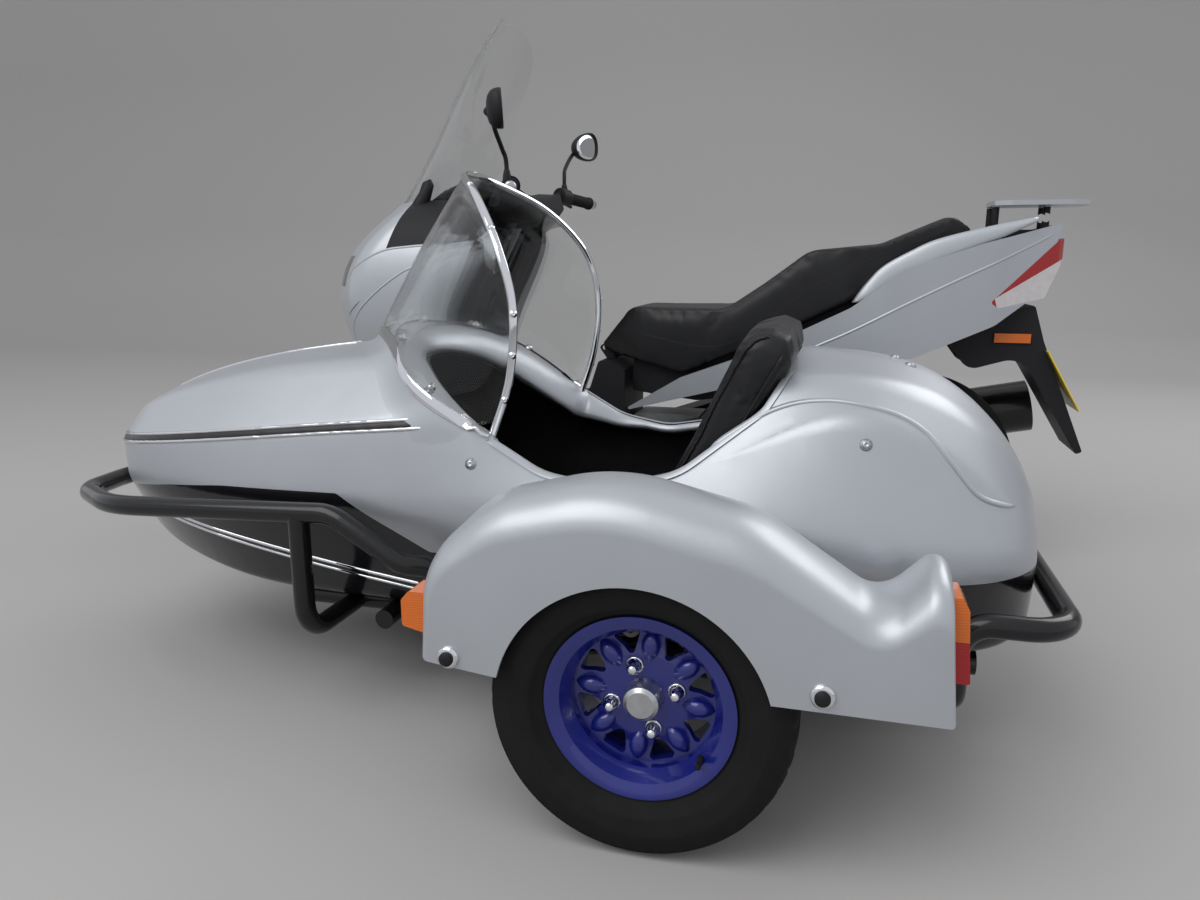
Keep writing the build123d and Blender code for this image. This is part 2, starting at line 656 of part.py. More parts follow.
# Lamps on the mudguard
front_lamp = slab(
    [(-774, 314), (-774, 378), (-806, 378), (-818, 364), (-818, 324)], [2, 2, 6, 6, 6], -1512, -1462
)
rear_amber = slab([(-66, 382), (-66, 440), (-52, 440), (-43, 424), (-40, 382)], [1, 1, 2, 2, 1], -1500, -1440)
rear_red = slab([(-66, 326), (-66, 381.6), (-40, 381.6), (-35, 326)], [1, 1, 1, 3], -1500, -1440)

# Scooter frame: head tube, twin down tubes, floor rails and seat rails
HEAD_LOW = 640.0
HEAD_HIGH = 800.0
HEAD_RADIUS = 30.0
head_low = Vector(steering_x(HEAD_LOW), 0, HEAD_LOW)
head_high = Vector(steering_x(HEAD_HIGH), 0, HEAD_HIGH)
STEM_RADIUS = 15.0
frame = rod(head_low, head_high, HEAD_RADIUS)
FRAME_HALF = 105.0
SEAT_RAIL_HALF = 160.0
RUN_BENDS = [60, 90, 90, 70, 90, 90]
tube_ways = None
for side in (-1, 1):
    y = side * FRAME_HALF
    run = [
        (head_low.X + 12, side * 18, HEAD_LOW + 40), (-1255, side * 60, 640), (-1212, y, 500), (-1160, y, 255), (-640, y, 240),
        (-570, side * SEAT_RAIL_HALF, 420), (-300, side * SEAT_RAIL_HALF, 540), (120, side * 120, 800),
    ]
    frame += bent_tube(run, RUN_BENDS, FRAME_TUBE)
    way = bent_tube(run, RUN_BENDS, FRAME_TUBE + 2 * FIT_GAP)
    tube_ways = way if tube_ways is None else tube_ways + way
for x, z in ((-1000.0, 250.8), (-700.0, 242.0)):
    frame += cylinder_y(x, z, 15, -FRAME_HALF, FRAME_HALF)
TAIL_CROSS_HALF = 162.4
frame += cylinder_y(120, 800, 15, -TAIL_CROSS_HALF, TAIL_CROSS_HALF)
DAMPER_HEIGHT = 178.0
DAMPER_EYES = (-640.0, -390.0)
for side in (-1, 1):
    frame += cheek((-700, 242), (DAMPER_EYES[0], DAMPER_HEIGHT), 15, *sorted((side * 15, side * 22)))
frame += cylinder_y(DAMPER_EYES[0], DAMPER_HEIGHT, 7, -20, 20)
steering_bore = rod(head_low - (head_high - head_low) * 0.2, head_high + (head_high - head_low) * 0.2, STEM_RADIUS + 0.5)
frame -= steering_bore
keep("scooter_frame", frame)

# Fixing arms of the sidecar, from the chassis to the scooter frame
ARM_TUBE = 32.0
chassis_side = -BODY_OFFSET + CROSS_REACH + FIT_GAP
fixings = [
    [(FRONT_CROSS, chassis_side, RAIL_HEIGHT), (FRONT_CROSS, chassis_side + 90, RAIL_HEIGHT), (-1000, -FRAME_HALF - 24, 250.8)],
    [(PIVOT_CROSS, chassis_side, RAIL_HEIGHT), (PIVOT_CROSS, chassis_side + 90, RAIL_HEIGHT), (-700, -FRAME_HALF - 24, 242.0)],
]
fixing_solids = [bent_tube(points, 40, ARM_TUBE) - frame for points in fixings]
upper_arm = bent_tube(
    [
        (TOWER_CROSS, chassis_side, RAIL_HEIGHT), (TOWER_CROSS, chassis_side + 90, RAIL_HEIGHT),
        (TOWER_CROSS, -440, 300), (-300, -SEAT_RAIL_HALF - 14, 540.0),
    ],
    [50, 60],
    ARM_TUBE,
)
fixing_solids.append(upper_arm - frame)
keep("fixing_arms", *fixing_solids)

# Engine and drive unit: crankcase, belt case, cylinder; the rear wheel turns beside it
belt_case = slab(
    [(-560, 260), (-520, 400), (-330, 420), (40, 350), (70, 270), (30, 200), (-300, 205), (-520, 215)],
    [50, 50, 60, 50, 30, 50, 60, 40],
    -175,
    -86,
)
crankcase = slab([(-620, 220), (-600, 390), (-400, 410), (-330, 330), (-330, 215)], 30, -88, 100)
cylinder_block = slab([(-590, 260), (-780, 300), (-804, 400), (-590, 400)], 15, -60, 60)
engine = belt_case + crankcase + cylinder_block
rear_arm = slab([(-400, 300), (-330, 380), (40, 300), (40, 240), (-330, 240)], 20, 88, 108)
engine += rear_arm
engine += cylinder_y(0, REAR_TYRE_RADIUS, REAR_AXLE_RADIUS, -88, 90)
for side in (-1, 1):
    engine += cheek((-400, 240), (DAMPER_EYES[1], DAMPER_HEIGHT), 15, *sorted((side * 15, side * 22)))
engine += cylinder_y(DAMPER_EYES[1], DAMPER_HEIGHT, 7, -20, 20)
engine = engine - frame
keep("engine_unit", engine)

# The scooter's single damper lies under the engine
engine_damper = damper((DAMPER_EYES[0], 0, DAMPER_HEIGHT), (DAMPER_EYES[1], 0, DAMPER_HEIGHT), 14, 24, 6)
keep("dampers", sidecar_damper, engine_damper)

# Exhaust on the right side
muffler = rod((-330, 190, 300), (330, 190, 430), 74)
muffler += bent_tube(
    [(-740, 40, 300), (-740, 50, 196), (-560, 90, 196), (-480, 150, 216), (-310, 190, 304)], [30, 40, 40], 34
)
# Hanger between the silencer and the swinging arm
muffler += cylinder_y(-150, 312, 12, 108.3, 124)
keep("muffler", muffler - engine)


# Steering: stem, yoke, fork legs, axle, handlebar
FORK_HALF = 92.0
YOKE_HEIGHT = HEAD_LOW - 34
axis = Vector(math.sin(math.radians(RAKE)), 0, math.cos(math.radians(RAKE)))
stem_low = Vector(steering_x(YOKE_HEIGHT), 0, YOKE_HEIGHT)
STEM_TOP = 985.0
stem_top = Vector(steering_x(STEM_TOP), 0, STEM_TOP)
fork = rod(stem_low, stem_top, STEM_RADIUS)
yoke = Plane(stem_low, x_dir=(0, 1, 0), z_dir=axis)
fork += extrude(yoke * RectangleRounded(2 * FORK_HALF + 60, 70, 24), 28)
LEG_RADIUS = 17.0
SLIDER_RADIUS = 24.0
EYE_RADIUS = 28.0
SLIDER_LENGTH = 190.0
for side in (-1, 1):
    foot = FRONT_AXLE + Vector(0, side * FORK_HALF, 0)
    leg_end = Vector(stem_low.X, side * FORK_HALF, stem_low.Z) - Vector(axis.Z, 0, -axis.X) * 20 + axis * 20
    leg = (leg_end - foot).normalized()
    fork += rod(foot, foot + leg * SLIDER_LENGTH, SLIDER_RADIUS)
    fork += rod(foot + leg * (SLIDER_LENGTH - 20), leg_end, LEG_RADIUS)
    fork += cylinder_y(FRONT_AXLE.X, FRONT_AXLE.Z, EYE_RADIUS, side * FORK_HALF - 18, side * FORK_HALF + 18)
fork += cylinder_y(FRONT_AXLE.X, FRONT_AXLE.Z, FRONT_AXLE_RADIUS, -FORK_HALF, FORK_HALF)
keep("front_fork", fork)

calipers = []
for side in (-1, 1):
    caliper = Pos(FRONT_AXLE.X + 88, side * (DISC_ACROSS + 4), FRONT_AXLE.Z + 74) * Box(44, 34, 74)
    caliper += Pos(FRONT_AXLE.X + 68, side * (DISC_ACROSS + 15), FRONT_AXLE.Z + 74) * Box(50, 12, 46)
    slot = cylinder_y(
        FRONT_AXLE.X, FRONT_AXLE.Z, FRONT_DISC_RADIUS + 4, side * DISC_ACROSS - 4, side * DISC_ACROSS + 4
    )
    calipers.append(caliper - slot - fork)
keep("brake_calipers", *calipers)

GUARD_CLEAR = 16.0
guard_ring = [
    (FRONT_TYRE_RADIUS + GUARD_CLEAR, -58), (FRONT_TYRE_RADIUS + GUARD_CLEAR, 58),
    (FRONT_TYRE_RADIUS - 40, 72), (FRONT_TYRE_RADIUS - 40, 68), (FRONT_TYRE_RADIUS + GUARD_CLEAR - 5, 54),
    (FRONT_TYRE_RADIUS + GUARD_CLEAR - 5, -54), (FRONT_TYRE_RADIUS - 40, -68), (FRONT_TYRE_RADIUS - 40, -72),
]
front_guard = turned(guard_ring, FRONT_AXLE)
guard_zone = slab(
    [
        (FRONT_AXLE.X, FRONT_AXLE.Z), (FRONT_AXLE.X - 330, FRONT_AXLE.Z + 60), (FRONT_AXLE.X - 200, FRONT_AXLE.Z + 400),
        (FRONT_AXLE.X + 420, FRONT_AXLE.Z + 200), (FRONT_AXLE.X + 420, FRONT_AXLE.Z - 60),
    ],
    2,
    -90,
    90,
)
front_guard = front_guard & guard_zone
# Straps down each side to the sliders
strap_low = FRONT_AXLE + leg * (SLIDER_LENGTH - 25)
strap_high = FRONT_AXLE + leg * (SLIDER_LENGTH + 60)
for side in (-1, 1):
    front_guard += cheek((strap_low.X, strap_low.Z), (strap_high.X, strap_high.Z), 14, *sorted((side * 67, side * 72)))
front_guard = front_guard - fork
keep("front_mudguard", front_guard)

# Handlebar: a bar through the cover, with grips at its ends
BAR_RADIUS = 11.0
BAR_CENTRE = Vector(steering_x(STEM_TOP) + 4, 0, STEM_TOP + 12)
GRIP_LENGTH = 118.0
GRIP_X = -1062.0
bar = bent_tube(
    [
        (GRIP_X, -GRIP_HALF_SPAN, GRIP_HEIGHT - 16), (GRIP_X - 55, -220, GRIP_HEIGHT), (BAR_CENTRE.X, -80, BAR_CENTRE.Z),
        (BAR_CENTRE.X, 80, BAR_CENTRE.Z), (GRIP_X - 55, 220, GRIP_HEIGHT), (GRIP_X, GRIP_HALF_SPAN, GRIP_HEIGHT - 16),
    ],
    40,
    2 * BAR_RADIUS,
)
grips = []
levers = []
mirrors = []
for side in (-1, 1):
    outer_end = Vector(GRIP_X, side * GRIP_HALF_SPAN, GRIP_HEIGHT - 16)
    inner_end = Vector(GRIP_X - 55, side * 220, GRIP_HEIGHT)
    along = (inner_end - outer_end).normalized()
    grip = rod(outer_end - along * 6, outer_end + along * GRIP_LENGTH, 17) - rod(
        outer_end, outer_end + along * (GRIP_LENGTH + 5), BAR_RADIUS
    )
    grips.append(grip)
    lever_root = outer_end + along * (GRIP_LENGTH + 20)
    lever = rod(lever_root + Vector(-30, 0, -4), outer_end + Vector(-62, 0, -10), 6)
    switch = rod(outer_end + along * (GRIP_LENGTH + 1), outer_end + along * (GRIP_LENGTH + 44), 26)
    levers.append(lever + switch)
hand_controls = [lever - bar for lever in levers]
handlebar_cover = loft(
    [
        Pos(0, y, 0) * side_outline(
            [
                (BAR_CENTRE.X - 60 * size, BAR_CENTRE.Z - 60 * size + lift), (BAR_CENTRE.X - 50 * size, BAR_CENTRE.Z + 40 * size + lift),
                (BAR_CENTRE.X + 40 * size + push, BAR_CENTRE.Z + 34 * size + lift), (BAR_CENTRE.X + 62 * size + push, BAR_CENTRE.Z - 50 * size + lift),
            ],
            14 * size,
        )
        for y, size, lift, push in ((-200, 0.62, 34, 26), (-90, 0.95, 8, 6), (90, 0.95, 8, 6), (200, 0.62, 34, 26))
    ]
)
handlebar_cover = handlebar_cover - bar - fork
for index in range(2):
    hand_controls[index] = hand_controls[index] - handlebar_cover
handlebar = bar - fork
keep("handlebar", handlebar, *hand_controls)
keep("handlebar_cover", handlebar_cover)
keep("hand_grips", *grips)

# Mirrors on stalks from the switch housings
MIRROR_HEAD = (-1106.0, 400.0, 1219.0)
MIRROR_KNEE = (-1126.0, 338.0, 1092.0)
MIRROR_FOOT = (-1117.0, 250.0, 1070.0)
for side in (-1, 1):
    foot, knee, head = [Vector(x, side * y, z) for x, y, z in (MIRROR_FOOT, MIRROR_KNEE, MIRROR_HEAD)]
    stalk = rod(foot, knee, 7) + rod(knee, head, 6) + Pos(knee) * Sphere(8)
    shell = Pos(head) * Rot(0, 8, side * 8) * extrude(
        Plane((-14, 0, 0), x_dir=(0, 1, 0), z_dir=(1, 0, 0)) * Ellipse(62, 48), 22
    )
    mirrors.append(stalk + shell - hand_controls[0] - hand_controls[1])
keep("mirrors", *mirrors)

# Front fairing: walls around the nose, open to the rear and over the wheel
# Columns: height, nose x, nose half width, cheek x, half width, rear edge x
FAIRING_SECTIONS = [
    (1012, -1535, 70, -1420, 220, -1270),
    (930, -1630, 95, -1490, 300, -1190),
    (800, -1722, 110, -1560, 335, -1235),
    (650, -1724, 105, -1560, 330, -1300),
    (500, -1650, 90, -1500, 300, -1335),
    (330, -1520, 80, -1420, 262, -1335),
]


def fairing_section(row, wall, rear_extra):
    z, nose_x, nose_half, cheek_x, half, rear_x = row
    points = [
        (nose_x + wall, -nose_half), (cheek_x, -half + wall), (rear_x + rear_extra, -half + wall),
        (rear_x + rear_extra, half - wall), (cheek_x, half - wall), (nose_x + wall, nose_half),
    ]
    outline = FilletPolyline(*[(x, y, z) for x, y in points], radius=[50, 90, 4, 4, 90, 50], close=True)
    return make_face(outline)


fairing_outer = loft([fairing_section(row, 0, 0) for row in FAIRING_SECTIONS])
inner_sections = [(row[0] + (2 if row[0] == 1012 else 0) - (2 if row[0] == 330 else 0),) + row[1:] for row in FAIRING_SECTIONS]
fairing_inner = loft([fairing_section(row, PANEL_WALL, 8) for row in inner_sections])
wheel_arch = cylinder_y(FRONT_AXLE.X, FRONT_AXLE.Z, FRONT_TYRE_RADIUS + 55, -400, 400)
lower_cut = slab([(-1900, 560), (-1560, 560), (-1340, 300), (-1340, 0), (-1900, 0)], 2, -400, 400)
fairing = fairing_outer - fairing_inner - wheel_arch - lower_cut

# Headlamps: two slanted lenses let into the nose, flush with the fairing
lamp_zones = both_sides(
    plan_slab([(-1760, 22), (-1760, 120), (-1640, 230), (-1600, 230), (-1600, 22)], [10, 30, 20, 4, 4], 770, 860)
)
lamp_block = fairing_outer - loft([fairing_section(row, PANEL_WALL * 3, 8) for row in inner_sections])
keep("headlamps", *[(lamp_block & zone) for zone in lamp_zones])
fairing = fairing - lamp_zones[0] - lamp_zones[1]
keep("front_fairing", fairing)

# Touring windscreen: a bent sheet
# Columns: height, middle x, edge x, half width
TALL_SCREEN = [
    (1012.3, -1534, -1345, 200),
    (1084, -1484, -1298, 208),
    (1150, -1440, -1288, 208),
    (1300, -1352, -1252, 202),
    (1430, -1272, -1190, 174),
    (SCREEN_TOP, -1212, -1200, 52),
]


def screen_section(row):
    z, middle_x, edge_x, half = row
    outer = ThreePointArc((edge_x, -half, z), (middle_x, 0, z), (edge_x, half, z))
    back = SCREEN_SHEET
    inner = ThreePointArc((edge_x + back, -half + 2, z), (middle_x + back, 0, z), (edge_x + back, half - 2, z))
    return make_face(Wire([outer, Line(outer @ 1, inner @ 1), inner, Line(inner @ 0, outer @ 0)]))


tall_screen = loft([screen_section(row) for row in TALL_SCREEN])

# Inner cowl: instrument binnacle and leg shield facing the rider
inner_cowl = slab(
    [(-1400, 900), (-1352, 1062), (-1270, 1040), (-1215, 940), (-1130, 880), (-1110, 640), (-1200, 560), (-1215, 340), (-1262, 340), (-1285, 600)],
    [20, 20, 20, 20, 30, 60, 40, 4, 4, 40],
    -250,
    250,
)
stem_way = rod(stem_low - axis * 80, stem_top + axis * 60, 60)
inner_cowl = inner_cowl - stem_way - frame
# Room for the handlebar cover's swing. Columns: depth below the bar's centre, radius
for depth, radius in ((95, 125), (60, 168), (38, 224)):
    inner_cowl -= rod(BAR_CENTRE - axis * depth, BAR_CENTRE + axis * 130, radius)
keep("inner_cowl", (inner_cowl & fairing_inner) - tall_screen)

# Floor: a hollow board each side of the tunnel, open towards the frame
TUNNEL_HALF = 130.0
FLOOR_HALF = 300.0
BOARD = [(-1330, 300), (-1262, 338), (-800, 338), (-560, 420), (-560, 300), (-640, 170), (-1180, 170)]
BOARD_INSIDE = [(-1318, 298), (-1260, 331), (-798, 331), (-566, 411), (-566, 303), (-643, 176), (-1177, 176)]
BOARD_BENDS = [10, 20, 60, 20, 20, 30, 30]
floor_panels = []
arms = fixing_solids[0] + fixing_solids[1] + fixing_solids[2]
for side in (-1, 1):
    near = side * (TUNNEL_HALF + FIT_GAP)
    board = slab(BOARD, BOARD_BENDS, *sorted((near, side * FLOOR_HALF)))
    board -= slab(BOARD_INSIDE, BOARD_BENDS, *sorted((near - side, side * (FLOOR_HALF - PANEL_WALL))))
    floor_panels.append(board - arms - tube_ways)
tunnel = slab(
    [(-1210, 345), (-1190, 520), (-1000, 430), (-920, 470), (-890, 562), (-850, 558), (-812, 536), (-812, 345)],
    [10, 60, 80, 40, 12, 8, 8, 10],
    -TUNNEL_HALF,
    TUNNEL_HALF,
)
tunnel_inside = slab(
    [(-1204, 300), (-1184, 508), (-1000, 422), (-914, 464), (-886, 554), (-852, 551), (-818, 530), (-818, 300)],
    [10, 54, 80, 40, 8, 6, 6, 10],
    -TUNNEL_HALF + 4,
    TUNNEL_HALF - 4,
)
tunnel = tunnel - tunnel_inside - tube_ways
# Hinge ears for the seat lid on top of the tunnel
SEAT_HINGE = Vector(-896, 0, 590)
HINGE_PIN = 6.0
EAR_PLACES = ((-44.0, -36.0), (36.0, 44.0))
for y_from, y_to in EAR_PLACES:
    tunnel += cheek((-872, 556), (SEAT_HINGE.X, SEAT_HINGE.Z), 11, y_from, y_to)
tunnel -= cylinder_y(SEAT_HINGE.X, SEAT_HINGE.Z, HINGE_PIN + FIT_GAP, -50, 50)
keep("floor_panels", *floor_panels, tunnel)

# Seat lid with its cushion, hinged at the front
SEAT_HALF_WIDTH = 172.0
SEAT_OUTLINE = [
    (-905, 600), (-800, 712), (-520, 712), (-420, 780), (-300, 868), (-120, 885), (60, 962), (112, 925), (85, 895),
    (-70, 835), (-200, 735), (-440, 615), (-640, 532), (-850, 575),
]
seat_plan_inner = plan_slab(
    [(-830, -80), (-700, -118), (-560, -142), (-200, -140), (30, -90), (30, 90), (-200, 140), (-560, 142), (-700, 118), (-830, 80)],
    [10, 40, 40, 60, 20, 20, 60, 40, 40, 10],
    300,
    1100,
)
scooter_seat = slab(SEAT_OUTLINE, [12, 60, 90, 90, 90, 90, 25, 15, 20, 60, 60, 80, 50, 20], -SEAT_HALF_WIDTH, SEAT_HALF_WIDTH)
seat_plan = plan_slab(
    [(-910, -70), (-760, -135), (-560, -172), (-200, -170), (115, -95), (115, 95), (-200, 170), (-560, 172), (-760, 135), (-910, 70)],
    [30, 60, 60, 80, 50, 50, 80, 60, 60, 30],
    400,
    1100,
)
# The lid is hollow below, over the mouth of the underseat box
LID_HOLLOW = [
    (-842, 500), (-806, 600), (-520, 606), (-420, 670), (-300, 760), (-120, 800), (24, 850), (24, 600), (-500, 300), (-842, 300),
]
LID_HALF = 142.0
lid_hollow = slab(LID_HOLLOW, [4, 8, 60, 60, 60, 60, 8, 4, 4, 4], -LID_HALF, LID_HALF)
scooter_seat = (scooter_seat & seat_plan) - (lid_hollow & seat_plan_inner)
# Hinge under the nose: a barrel on its pin between the ears, with a slot round each ear
HINGE_BARREL = 11.0
scooter_seat += cylinder_y(SEAT_HINGE.X, SEAT_HINGE.Z, HINGE_BARREL, -32, 32)
for y_from, y_to in EAR_PLACES:
    scooter_seat -= slab([(-930, 540), (-930, 608), (-884, 608), (-856, 592), (-856, 540)], 2, y_from - 3, y_to + 3)
scooter_seat += cylinder_y(SEAT_HINGE.X, SEAT_HINGE.Z, HINGE_PIN, -52, 52)
keep("scooter_seat", scooter_seat)

# Side panels joined behind the seat, as one tail wall on each side
TAIL_OUTLINE = [
    (-818, 418), (-640, 526), (-432, 606), (-192, 726), (-60, 826), (120, 888), (322, 942), (270, 762), (165, 684),
    (-26, 600), (-513, 502),
]
tail_block = slab(TAIL_OUTLINE, [4, 40, 60, 60, 60, 40, 6, 10, 60, 80, 80], -216, 216)
tail_plan = plan_slab(
    [(-820, -150), (-520, -196), (-100, -214), (160, -165), (330, -70), (330, 70), (160, 165), (-100, 214), (-520, 196), (-820, 150)],
    [20, 200, 200, 120, 40, 40, 120, 200, 200, 20],
    300,
    1100,
)
tail_inner_plan = plan_slab(
    [(-860, -144), (-520, -190), (-100, -208), (155, -159), (318, -66), (318, 66), (155, 159), (-100, 208), (-520, 190), (-860, 144)],
    [20, 200, 200, 120, 40, 40, 120, 200, 200, 20],
    200,
    1200,
)
tail_shell = (tail_block & tail_plan) - tail_inner_plan
# Tail lamp around the end of the tail
lamp_zone = slab([(150, 742), (320, 905), (345, 890), (288, 752), (170, 728)], [6, 10, 10, 10, 10], -230, 230)
tail_lamp = (tail_plan - tail_inner_plan) & lamp_zone
keep("red_lenses", tail_lamp, rear_red - mudguard_outer)
keep("side_panels", tail_shell - lamp_zone)

# Underseat box: an open tub whose rim rises into the hollow of the lid
BOX_OUTLINE = [
    (-800, 470), (-795, 592), (-520, 598), (-424, 660), (-304, 750), (-120, 792), (8, 838), (8, 730), (-200, 650), (-330, 500),
    (-600, 455),
]
BOX_CAVITY = [
    (-792, 480), (-790, 800), (2, 900), (2, 738), (-203, 658), (-336, 508), (-600, 463),
]
BOX_PLAN = [
    (-820, -72), (-700, -108), (-560, -134), (-200, -132), (20, -82), (20, 82), (-200, 132), (-560, 134), (-700, 108), (-820, 72),
]
box_plan = plan_slab(BOX_PLAN, [10, 40, 40, 60, 20, 20, 60, 40, 40, 10], 300, 1100)
BOX_WALL = 5.0
cavity_plan = plan_slab(
    [(x, y - math.copysign(BOX_WALL, y)) for x, y in BOX_PLAN], [10, 40, 40, 60, 20, 20, 60, 40, 40, 10], 300, 1100
)
under_box = slab(BOX_OUTLINE, [8, 8, 60, 60, 60, 60, 8, 20, 30, 40, 40], -150, 150) & box_plan
box_cavity = slab(BOX_CAVITY, [8, 4, 4, 20, 30, 40, 40], -150, 150) & cavity_plan
under_box = under_box - box_cavity
# Ears on the seat rails
for side in (-1, 1):
    under_box += cheek((-476, 488), (-426, 500), 9, *sorted((side * (LID_HALF - 13), side * (SEAT_RAIL_HALF - 6))))
keep("underseat_box", under_box - frame - engine)

# Grab rails: one blade on each side, joined by the carrier behind the seat
grab_points = [(-195, 190, 748), (-140, 198, 800), (60, 198, 884), (235, 128, 946), (285, 60, 956)]
grab = None
for side in (-1, 1):
    blade = bent_tube([(x, side * y, z) for x, y, z in grab_points], [40, 80, 60], 24)
    grab = blade if grab is None else grab + blade
grab += rod((285, -60, 956), (285, 60, 956), 12) + Pos(285, -60, 956) * Sphere(12) + Pos(285, 60, 956) * Sphere(12)
grab = grab - tail_shell
keep("grab_rails", grab)

# Luggage rack: a plate with four bolt holes on posts
RACK_TOP = 998.0
RACK_PLATE = 12.0
RACK_HOLE_SPACING_X = 120.0
RACK_HOLE_SPACING_Y = 90.0
rack = plan_slab(
    [(150, -62), (190, -82), (340, -82), (385, -50), (385, 50), (340, 82), (190, 82), (150, 62)],
    [14, 30, 30, 20, 20, 30, 30, 14],
    RACK_TOP - RACK_PLATE,
    RACK_TOP,
)
RACK_CENTRE_X = 262.0
for step_x in (-0.5, 0.5):
    for step_y in (-0.5, 0.5):
        hole = Pos(
            RACK_CENTRE_X + step_x * RACK_HOLE_SPACING_X, step_y * RACK_HOLE_SPACING_Y, RACK_TOP
        ) * Cylinder(3.5, 60)
        rack -= hole
posts = []
for x, y in ((160, -45), (160, 45), (285, -30), (285, 30)):
    posts.append(rod((x, y, 925), (x, y, RACK_TOP - RACK_PLATE - FIT_GAP), 9))
rack_base = plan_slab([(122, -70), (122, 70), (310, 50), (310, -50)], 10, 905, 925)
rack_posts = rack_base - tail_shell - grab
for post in posts:
    rack_posts += post - grab
keep("rear_rack", rack, rack_posts)

# Rear mudguard with the number plate and side reflectors
rear_guard = slab(
    [(150, 700), (270, 735), (300, 640), (420, 352), (404, 346), (250, 600), (120, 560), (60, 640)],
    [10, 10, 20, 6, 6, 60, 40, 20],
    -88,
    88,
)
guard_hollow = slab([(40, 690), (225, 650), (390, 340), (380, 300), (40, 300)], [4, 60, 10, 4, 4], -82, 82)
rear_guard = rear_guard - guard_hollow + slab([(102, 640), (102, 784.7), (140, 784.7), (170, 700)], 6, -30, 30)
rear_guard = rear_guard - tail_shell - under_box
keep("rear_mudguard", rear_guard)
plate = Pos(352, 0, 540) * Rot(0, -30, 0) * Box(3, 229, 178)
keep("number_plate", plate - rear_guard)
reflectors = [Pos(222, side * 92.5, 648) * Box(88, 8, 24) - rear_guard for side in (-1, 1)]
keep("amber_lenses", *reflectors, front_lamp - mudguard_outer, rear_amber - mudguard_outer)

# Wind deflectors beside the fairing
deflectors = []
for side in (-1, 1):
    sheet = slab([(-1330, 690), (-1300, 830), (-1180, 905), (-1172, 880), (-1250, 720)], [12, 40, 10, 10, 20], side * 345 - 2, side * 345 + 2)
    for x, z in ((-1300, 760), (-1250, 815)):
        sheet += cylinder_y(x, z, 6, *sorted((side * 320, side * 344)))
    deflectors.append(sheet - fairing_outer)
keep("scooter_windscreen", tall_screen, *deflectors)

# The whole outfit is set with its origin under the middle of its bounding box
os.makedirs("parts", exist_ok=True)
everything = Compound([solid for solids in NODES.values() for solid in solids])
bounds = everything.bounding_box()
shift = Pos(-(bounds.min.X + bounds.max.X) / 2, -(bounds.min.Y + bounds.max.Y) / 2, -bounds.min.Z)
for name, solids in NODES.items():
    export_step(shift * Compound(solids), os.path.join("parts", name + ".step"))
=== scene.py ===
import json
import math

import bmesh
import bpy
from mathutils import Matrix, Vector
from mathutils.bvhtree import BVHTree

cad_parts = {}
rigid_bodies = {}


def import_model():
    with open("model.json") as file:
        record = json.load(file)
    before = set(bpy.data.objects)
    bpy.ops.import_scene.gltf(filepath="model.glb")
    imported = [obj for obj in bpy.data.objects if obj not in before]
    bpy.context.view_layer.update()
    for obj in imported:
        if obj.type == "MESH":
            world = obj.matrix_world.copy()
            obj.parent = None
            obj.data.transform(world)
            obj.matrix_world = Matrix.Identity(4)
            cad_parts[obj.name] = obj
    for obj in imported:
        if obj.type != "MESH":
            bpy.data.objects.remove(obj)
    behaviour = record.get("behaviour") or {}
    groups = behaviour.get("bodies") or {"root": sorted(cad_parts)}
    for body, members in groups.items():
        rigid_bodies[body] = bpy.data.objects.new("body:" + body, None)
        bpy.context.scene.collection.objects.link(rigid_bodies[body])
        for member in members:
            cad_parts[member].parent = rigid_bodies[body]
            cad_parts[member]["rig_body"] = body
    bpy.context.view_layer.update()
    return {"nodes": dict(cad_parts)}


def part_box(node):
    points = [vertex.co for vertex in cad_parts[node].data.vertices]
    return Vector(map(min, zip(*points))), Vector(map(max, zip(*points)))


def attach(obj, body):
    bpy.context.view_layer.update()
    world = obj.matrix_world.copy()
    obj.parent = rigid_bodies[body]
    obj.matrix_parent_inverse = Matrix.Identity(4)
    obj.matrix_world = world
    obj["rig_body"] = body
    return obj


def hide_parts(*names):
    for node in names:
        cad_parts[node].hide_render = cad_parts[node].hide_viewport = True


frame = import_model()

# The place where the outfit was photographed from: a camera at a rider's chest height, a little
# ahead of square on the sidecar's side. Places are given in millimetres from the scooter's rear
# axle, its centre plane and the floor, with the nose to -X and the sidecar at -Y.
SIDECAR_AXLE = Vector((-466, -1414, 224.5))
wheel_low, wheel_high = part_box("sidecar_tyre")
origin = (wheel_low + wheel_high) / 2 - SIDECAR_AXLE / 1000


def at(x, y, z):
    """A drawn place, in millimetres, as a point of the row frame."""
    return Vector((x, y, z)) / 1000 + origin


def new_object(name, data):
    """An object at the origin with its place in its data."""
    item = bpy.data.objects.new(name, data)
    bpy.context.scene.collection.objects.link(item)
    return item


CAMERA_PLACE = (-222, -2608, 853)
CAMERA_DOWN = 12.3
CAMERA_ROUND = 15.0
FOCAL_PIXELS = 880
PHOTO_WIDTH = 1200
camera_data = bpy.data.cameras.new("camera")
camera_data.sensor_width = 36
camera_data.lens = FOCAL_PIXELS / PHOTO_WIDTH * camera_data.sensor_width
camera = new_object("camera", camera_data)
camera.location = at(*CAMERA_PLACE)
camera.rotation_euler = (math.radians(90 - CAMERA_DOWN), 0, math.radians(CAMERA_ROUND))
bpy.context.scene.camera = camera

